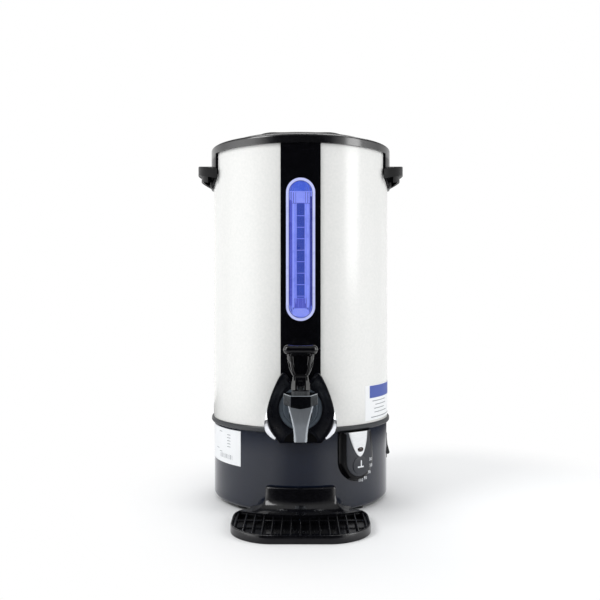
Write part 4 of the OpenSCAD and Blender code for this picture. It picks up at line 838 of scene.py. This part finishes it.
face_h = panel_r - base_r
bevel_rows = panel_rows([(0, 0.15), (0, 1.5), (0.25, 2.6), (0.9, 3.9), (2.0, 4.9), (3.4, 5.6), (5.0, 6.2),
                         (6.0, 6.6), (6.25, 6.2), (6.5, 6.2)])
face_rows = panel_rows([(6.3, 6.1), (6.3, face_h - 0.35), (6.5, face_h - 0.1), (6.9, face_h)])
edge = level_top(inset(tongue, 6.9))
face_rows += [on_wall(edge[:, 0] * k, edge[:, 1], panel_r, panel_angle) for k in (0.75, 0.5, 0.25, 0.0)]
for name, rows, look in (("panel_bevel", bevel_rows, bevel_abs), ("panel_face", face_rows, panel_abs)):
    build(name, [tube(rows)], "root", look, ["control_panel"], crease=50)

# silver plate: a shield that is a little wider towards the front of the urn
plate_top, plate_tip = base_top - 0.6, base_top - 29.5
plate = np.vstack([
    [(0, plate_top)],
    bezier((10.8, plate_top), (10.9, plate_top - 11), (6.6, plate_tip + 1.4), (0, plate_tip), 30),
    bezier((0, plate_tip), (-7.0, plate_tip + 1.4), (-12.8, plate_top - 13), (-16.6, plate_top), 30)[1:]])
build("plate_stamped", [sheet(evened(plate, 200), panel_r + 0.5, 0.5, 0.3, panel_angle)], "root", silver_plate,
      ["panel_plate"])

# oval lens of the lamp: a low dome in a thin collar, as shares of the oval and heights above the panel
a, lamp_half_w, lamp_half_h = circle(48), 4.3, 2.7
rows = [on_wall(lamp_half_w * k * np.cos(a), lamp_z + lamp_half_h * k * np.sin(a), panel_r + proud, panel_angle)
        for k, proud in ((1.0, 0.3), (1.0, 0.75), (0.9, 0.85), (0.86, 0.62), (0.7, 0.95), (0.4, 1.15),
                         (0.02, 1.2))]
build("lamp_dome", [tube(rows, "z")], "root", lamp_lens, ["indicator_lamp"], crease=60)


def dial():
    """Disc with a rounded rim that turns about the shaft; its mark is a raised white print."""
    axis = np.array([math.sin(panel_angle), -math.cos(panel_angle), 0])
    across = np.array([math.cos(panel_angle), math.sin(panel_angle), 0])
    front, ink_h = panel_r + 0.35, 0.06

    def placed(u, z, d):
        u, z, d = np.broadcast_arrays(u, z, d)
        return u[..., None] * across + z[..., None] * [0, 0, 1] + d[..., None] * axis + [0, 0, dial_z]

    a = circle(120)[None, :]
    profile = np.array([(dial_r - 0.1, panel_r - 1.2), (dial_r - 0.1, front - 0.5),
                        (dial_r - 0.35, front - 0.12), (dial_r - 0.8, front), (2.5, front), (0.02, front)])
    disc = tube(placed(profile[:, :1] * np.cos(a), profile[:, :1] * np.sin(a), profile[:, 1:]))
    build("dial_moulding", [disc], "dial", panel_abs, ["thermostat_knob"], crease=40)
    marks = []
    for half_w, z0, z1, x in ((4.5, -2.7, -1.0, 0.5), (0.85, -1.3, 5.6, 1.3)):
        u, z = oblong(half_w, z0, z1, 0.4, x).T
        marks.append(tube([placed(u, z, front - 0.05), placed(u, z, front + ink_h),
                           placed(x + (u - x) * 0.01, z, front + ink_h)]))
    build("dial_mark", marks, "dial", ink_white)


dial()

# plain temperatures round the dial, printed
digits_h, digits_r = 4.9, 17.6
for text, turn in (("30", 16), ("50", -8), ("70", -35), ("90", -63), ("110", -88)):
    letters = bpy.data.curves.new("digits_" + text, "FONT")
    letters.body, letters.size, letters.extrude = text, digits_h, 0.06
    letters.align_x, letters.align_y = "CENTER", "CENTER"
    holder = in_scene("digits_holder", letters)
    digits = bpy.data.meshes.new_from_object(holder)
    bpy.data.objects.remove(holder)
    flat_xyz = np.empty(len(digits.vertices) * 3)
    digits.vertices.foreach_get("co", flat_xyz)
    u, v, w = flat_xyz.reshape(-1, 3).T
    u, v = u + digits_r * math.cos(math.radians(turn)), v + digits_r * math.sin(math.radians(turn))
    bent = on_wall(u, v + dial_z, panel_r + 0.03 + w, panel_angle)
    digits.vertices.foreach_set("co", ((bent + AXIS) * MM).ravel())
    digits.update()
    finished("printed_" + text, digits, "root", ink_white, ())

# ---------- level window ----------

face_r, layer_gap, edge_h = strip_r + 0.012, 0.0012, 0.001
top, bottom = window_z + window_half_h - 3, window_z - window_half_h + 3


def lit_sheet(name, outline, n, proud, thick, look, replaces=(), centre=0.0):
    """A coloured part of the lit sheet, a hair in front of the strip."""
    part = sheet(evened(outline, n), face_r + proud, thick, edge_h, 0, centre)
    build(name, [part], "root", look, replaces)


lit_sheet("window_dark_edge", oblong(window_half_w - 3.05, bottom, top, 30, n=24), 240, -0.0015, 0.6, lit_night,
          ["scale_plate"])
lit_sheet("window_light_sheet", oblong(window_half_w - 3.65, bottom + 0.6, top - 0.6, 30, n=24), 240, 0, 0.1,
          lit_lavender)
t = np.linspace(0, np.pi, 24)
dome_w = window_half_w - 4.2
dome = np.column_stack([dome_w * np.cos(t), top - 12.3 + (dome_w - 0.7) * np.sin(t)])
lit_sheet("window_dome", dome, 120, layer_gap, 0.05, lit_bright)
# each part: half width, heights of its ends, corner radius, place along X, look, layer, slot
lit_parts = {
    "dome_edge": (window_half_w - 3.6, top - 13.4, top - 12.1, 0.3, 0, lit_pale, 2, "lit_lavender"),
    "channel": (4.4, bottom + 23, top - 26, 0.5, 0, lit_deep, 1, "lit_blue"),
    "band_left": (1.5, bottom + 14, top - 22, 0.3, -11.1, lit_violet, 1, "lit_blue"),
    "band_right": (1.25, bottom + 14, top - 18, 0.3, 12.0, lit_night, 1, "lit_blue"),
    "rib_left": (1.15, bottom + 12, top - 26, 0.3, -8.1, lit_pale, 1, "lit_blue"),
    "rib_right": (1.3, bottom + 12, top - 26, 0.3, 8.0, lit_pale, 1, "lit_blue"),
    "seam_left": (0.35, bottom + 16, top - 25, 0.3, -5.3, lit_marks, 1, "lit_blue"),
    "seam_right": (0.35, bottom + 16, top - 25, 0.3, 5.4, lit_marks, 1, "lit_blue"),
    "seam_far": (0.3, bottom + 16, top - 18, 0.3, -12.9, lit_night, 1, "lit_blue"),
    "header": (12.4, top - 25.8, top - 13.6, 0.8, 0, lit_pale, 1, "lit_lavender"),
    "step_top": (12.6, top - 26.4, top - 25.3, 0.3, 0, lit_violet, 2, "lit_blue"),
    "foot": (8.5, bottom + 11.5, bottom + 22.5, 2, 0, lit_violet, 1, "lit_blue"),
    "toe": (9.5, bottom + 2.5, bottom + 11.0, 8, 0, lit_pale, 2, "lit_lavender")}
first_mark, mark_pitch = top - 40, 13.0
for k in range(8):
    z = first_mark - mark_pitch * k
    if z > bottom + 24:
        lit_parts["mark_%d" % k] = (4.4, z - 0.3, z + 0.3, 0.1, 0, lit_marks, 2, "lit_lavender")
for name, (half_w, z0, z1, radius, x, look, layer, slot) in lit_parts.items():
    lit_sheet("window_" + name, oblong(half_w, z0, z1, radius, x), 120, layer_gap * layer, 0.05, look,
              centre=x)

# ---------- stickers: paper with plain rules ----------


def printed(name, look, rules, r):
    """Thin rules on a wall; each is an angle and height of its centre, half its arc and half its height."""
    grids, ink_h = [], 0.04
    for degrees, z, half_arc, half_h in rules:
        arc = np.linspace(-half_arc, half_arc, 2 + int(half_arc * 2))
        rows = [wrapped(arc, z + v * half_h, r + d, math.radians(degrees))
                for v, d in ((-1, 0), (-1, ink_h), (1, ink_h), (1, 0))]
        grids.append(grid(np.array(rows), wrap_rows=True))
    build(name, grids, "root", look)


paper_h = 0.22
left_r, right_r = base_r + paper_h, body_r + paper_h
left = [(-51.5, z, 3.4, 0.35) for z in (86, 82.5, 79, 75.5, 72)]
left += [(-62 - 5 * (k % 2), z, 4.0, 0.3) for k, z in enumerate((88, 67, 64))]
left += [(-48 - 1.6 * k, 60, 0.24 + 0.14 * ((k * 5) % 3), 2.6) for k in range(10)]
right = [(60 + 2.4 * (k % 2), z, 18.0 - 2 * (k % 3), 0.42) for k, z in enumerate((126.5, 122, 117.5, 113))]
right.append((66.5, 107.4, 33, 0.5))
printed("left_rules", ink_grey, left, left_r)
printed("right_header", ink_blue, [(66.5, 137.6, 36.0, 7.3)], right_r)
printed("right_rules", ink_grey, right, right_r)

# ---------- drip tray ----------

neck_w, step_r, pan_r = 39.8, base_r + 26, base_r + 0.5
half = np.vstack([
    [(0, tray_front)],
    bezier((tray_half * 0.41, tray_front), (tray_half * 0.67, tray_front), (tray_half, tray_front - 20),
           (tray_half, tray_front - 46), 20),
    bezier((tray_half, tray_front - 72), (tray_half, tray_front - 88), (tray_half - 7, tray_front - 101),
           (tray_half - 19, tray_front - 102), 16)])
behind = np.linspace(neck_w + 6, 0, 24)
half = np.vstack([half, [(neck_w + 6, half[-1, 1])], np.column_stack([behind, arc_depth(behind, pan_r)])[1:]])
outline = evened(np.vstack([half, (half * [-1, 1])[::-1][1:-1]]), 480)


def well_row(by, z, back_r):
    """The tray's plan moved inwards, at a height, cut off by an arc of radius back_r at its back."""
    x, y = inset(outline, by).T
    return lifted(np.column_stack([x, -np.maximum(y, arc_depth(x, back_r))]), z)


# outside from below, over the edge and down into the well, which ends in an arc in front of the flat
outside = ((0.5, 0), (0, 0.5), (0, tray_h - 1.0), (0.3, tray_h - 0.3), (1.0, tray_h))
inside = ((1.9, tray_h), (2.4, tray_h - 0.5), (2.6, 2.4), (4, 2.0))
rows = [well_row(by, z, pan_r) for by, z in outside] + [well_row(by, z, step_r) for by, z in inside]
mid = np.array([0, -(step_r + tray_front) / 2, 2.0])
rows += [mid + (rows[-1] - mid) * [k, k, 1] for k in (0.7, 0.4, 0.1, 0.01)]
pan = tube(rows, "az")
# neck: stands on the flat, sweeps up close to the base and ends in a level top edge; each section has a height,
# a distance in front of the base and a half width
back_gap = 0.7
sections = [(tray_h - 0.4, 25.6, 57.5), (tray_h + 0.6, 21.5, 51.5), (tray_h + 2.2, 17.6, 47.2),
            (tray_h + 4.6, 13.8, 43.6), (tray_h + 8, 10.8, 41.4), (tray_h + 12, 8.8, 40.4),
            (tray_h + 17, 7.4, 39.9), (neck_top - 2.2, 6.6, neck_w), (neck_top - 0.7, 6.3, neck_w - 0.2),
            (neck_top - 0.1, 5.7, neck_w - 0.7), (neck_top, 4.9, neck_w - 1.4)]
s = np.concatenate([[-1, -1, -1], np.linspace(-0.995, 0.995, 60), [1, 1, 1]])
deep = np.concatenate([[0, 0.5, 0.9], np.ones(60), [0.9, 0.5, 0]])
rows = []
for z, d, w in [(sections[0][0], back_gap, sections[0][2]), *sections, (neck_top, back_gap, neck_w - 1.4)]:
    r = base_r + back_gap + (d - back_gap) * deep * (1 - 0.08 * np.abs(s) ** 30)
    rows.append(lifted(np.column_stack([s * w, -arc_depth(s * w, r)]), z))
neck = grid(np.array(rows))
build("drip_tray_moulding", [pan, neck], "tray", tray_abs, ["drip_tray"], crease=40)

# grate: round-topped bars to the front, two low cross bars on feet, and a rim strip
bar_w, bar_low, bar_high, pitch, cross_w = 0.8, tray_h - 3.5, tray_h - 1.05, 10.0, 1.4
grids = []
inner = inset(outline, 3.0)
section = np.array([(-bar_w, bar_low), (-bar_w, bar_high - 0.5), (-0.5 * bar_w, bar_high - 0.1), (0, bar_high),
                    (0.5 * bar_w, bar_high - 0.1), (bar_w, bar_high - 0.5), (bar_w, bar_low)])
for k in range(-7, 8):
    x = k * pitch
    limits = inner[np.abs(inner[:, 0] - x) < 1.2][:, 1]
    y0, y1 = max(float(arc_depth(x, step_r + 0.6)), limits.min() + 0.4), limits.max() - 0.1
    if y1 - y0 >= 6:
        grids.append(tube([np.column_stack([x + section[:, 0], np.full(7, -y), section[:, 1]])
                           for y in np.linspace(y0, y1, 5)], "az"))
section = np.array([(-cross_w, bar_low), (-cross_w, bar_high - 1.0), (0, bar_high - 0.8),
                    (cross_w, bar_high - 1.0), (cross_w, bar_low)])
foot = [(0.01, 2.1), (2.3, 2.1), (2.3, bar_low + 0.5), (0.01, bar_low + 0.5)]
for y in (step_r + 10, tray_front - 12):
    reach = inner[np.abs(inner[:, 1] - y) < 1.5][:, 0].max() - 0.5
    grids.append(tube([np.column_stack([np.full(5, x), -y + section[:, 0], section[:, 1]])
                       for x in np.linspace(-reach, reach, 9)], "az"))
    grids += [turned_z(foot, 24, side * pitch, -y) for side in (-4, 4)]
# rim strip: the tray's inner plan carried round at two widths, with the arc in front of the neck closing it
rows = [well_row(by, z, step_r + by - 2.5) for by, z in (
    (3.1, bar_low), (3.1, bar_high - 0.9), (4.3, bar_high - 0.9), (4.3, bar_low))]
grids.append(ring(rows))
build("drip_grate_moulding", grids, "grate", tray_abs, ["drip_grate"])

# ---------- mouldings whose edges are rounded ----------

softened("handle_left", "root", grip_abs, 1.6)
softened("handle_right", "root", grip_abs, 1.6)
softened("switch_rocker", "rocker", gloss_abs, 0.5)
softened("switch_frame", "root", inner_pbt, 0.5)


def lid_bar():
    """Low arched bar on the lid: its side view carried from front to back, with rounded long edges."""
    half_l, half_w, high = span("lid_handle")[1]
    foot, under = deck_z + 0.02, high - 7
    outer = bezier((half_l * 0.5, high), (half_l * 0.74, high), (half_l * 0.9, high - 6), (half_l, foot), 20)
    inner = bezier((half_l - 16, foot), (half_l - 19, foot + 4), (half_l * 0.55, under), (half_l * 0.36, under),
                   16)
    side_view = evened(mirrored(np.vstack([[(0, high)], outer, inner, [(0, under)]]))[:-1], 260)
    rows = []
    for y, by in ((-half_w, 1.5), (-half_w + 0.45, 0.45), (-half_w + 1.5, 0), (half_w - 1.5, 0),
                  (half_w - 0.45, 0.45), (half_w, 1.5)):
        x, z = inset(side_view, by).T
        rows.append(np.column_stack([x, np.full(len(x), y), np.maximum(z, foot)]))
    build("lid_bar_moulding", [tube(rows, "az")], "lid", lid_abs, ["lid_handle"])


lid_bar()

# ---------- what the frame already shows well takes its finish here ----------

finishes = [
    (slate_abs, "base_housing"), (satin_abs, "trim_ring"), (enamel, "outer_shell"), (gloss_abs, "front_strip"),
    (rim_abs, "top_rim"), (lid_abs, "lid_panel"), (lit_rim, "window_frame"), (cover_pc, "window_lens"),
    (glass_tube, "sight_tube"), (lit_deep, "light_reflector"), (board, "led_boards"), (rubber, "rubber_feet"),
    (tank_steel, "inner_tank"), (aluminium, "heater_plate"), (copper, "thermostat_bulb"),
    (wire_cover, "wiring_loom"), (paper, "paper_labels"),
    (inner_pbt, "base_plate thermal_cutout power_inlet"),
    (silicone, "tube_elbows lid_gasket terminal_block tap_seat tap_seals"),
    (zinc, "foot_screws handle_screws lid_screws heater_element tie_bar tie_bolt thermostat_body"),
    (zinc, "thermostat_shaft inlet_pins inlet_screws"),
    (stainless, "tap_stem lever_pin tap_nut percolator_stem coffee_basket basket_cover")]
for look, node_names in finishes:
    for node_name in node_names.split():
        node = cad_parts[node_name]
        node.data.materials.clear()
        node.data.materials.append(look)
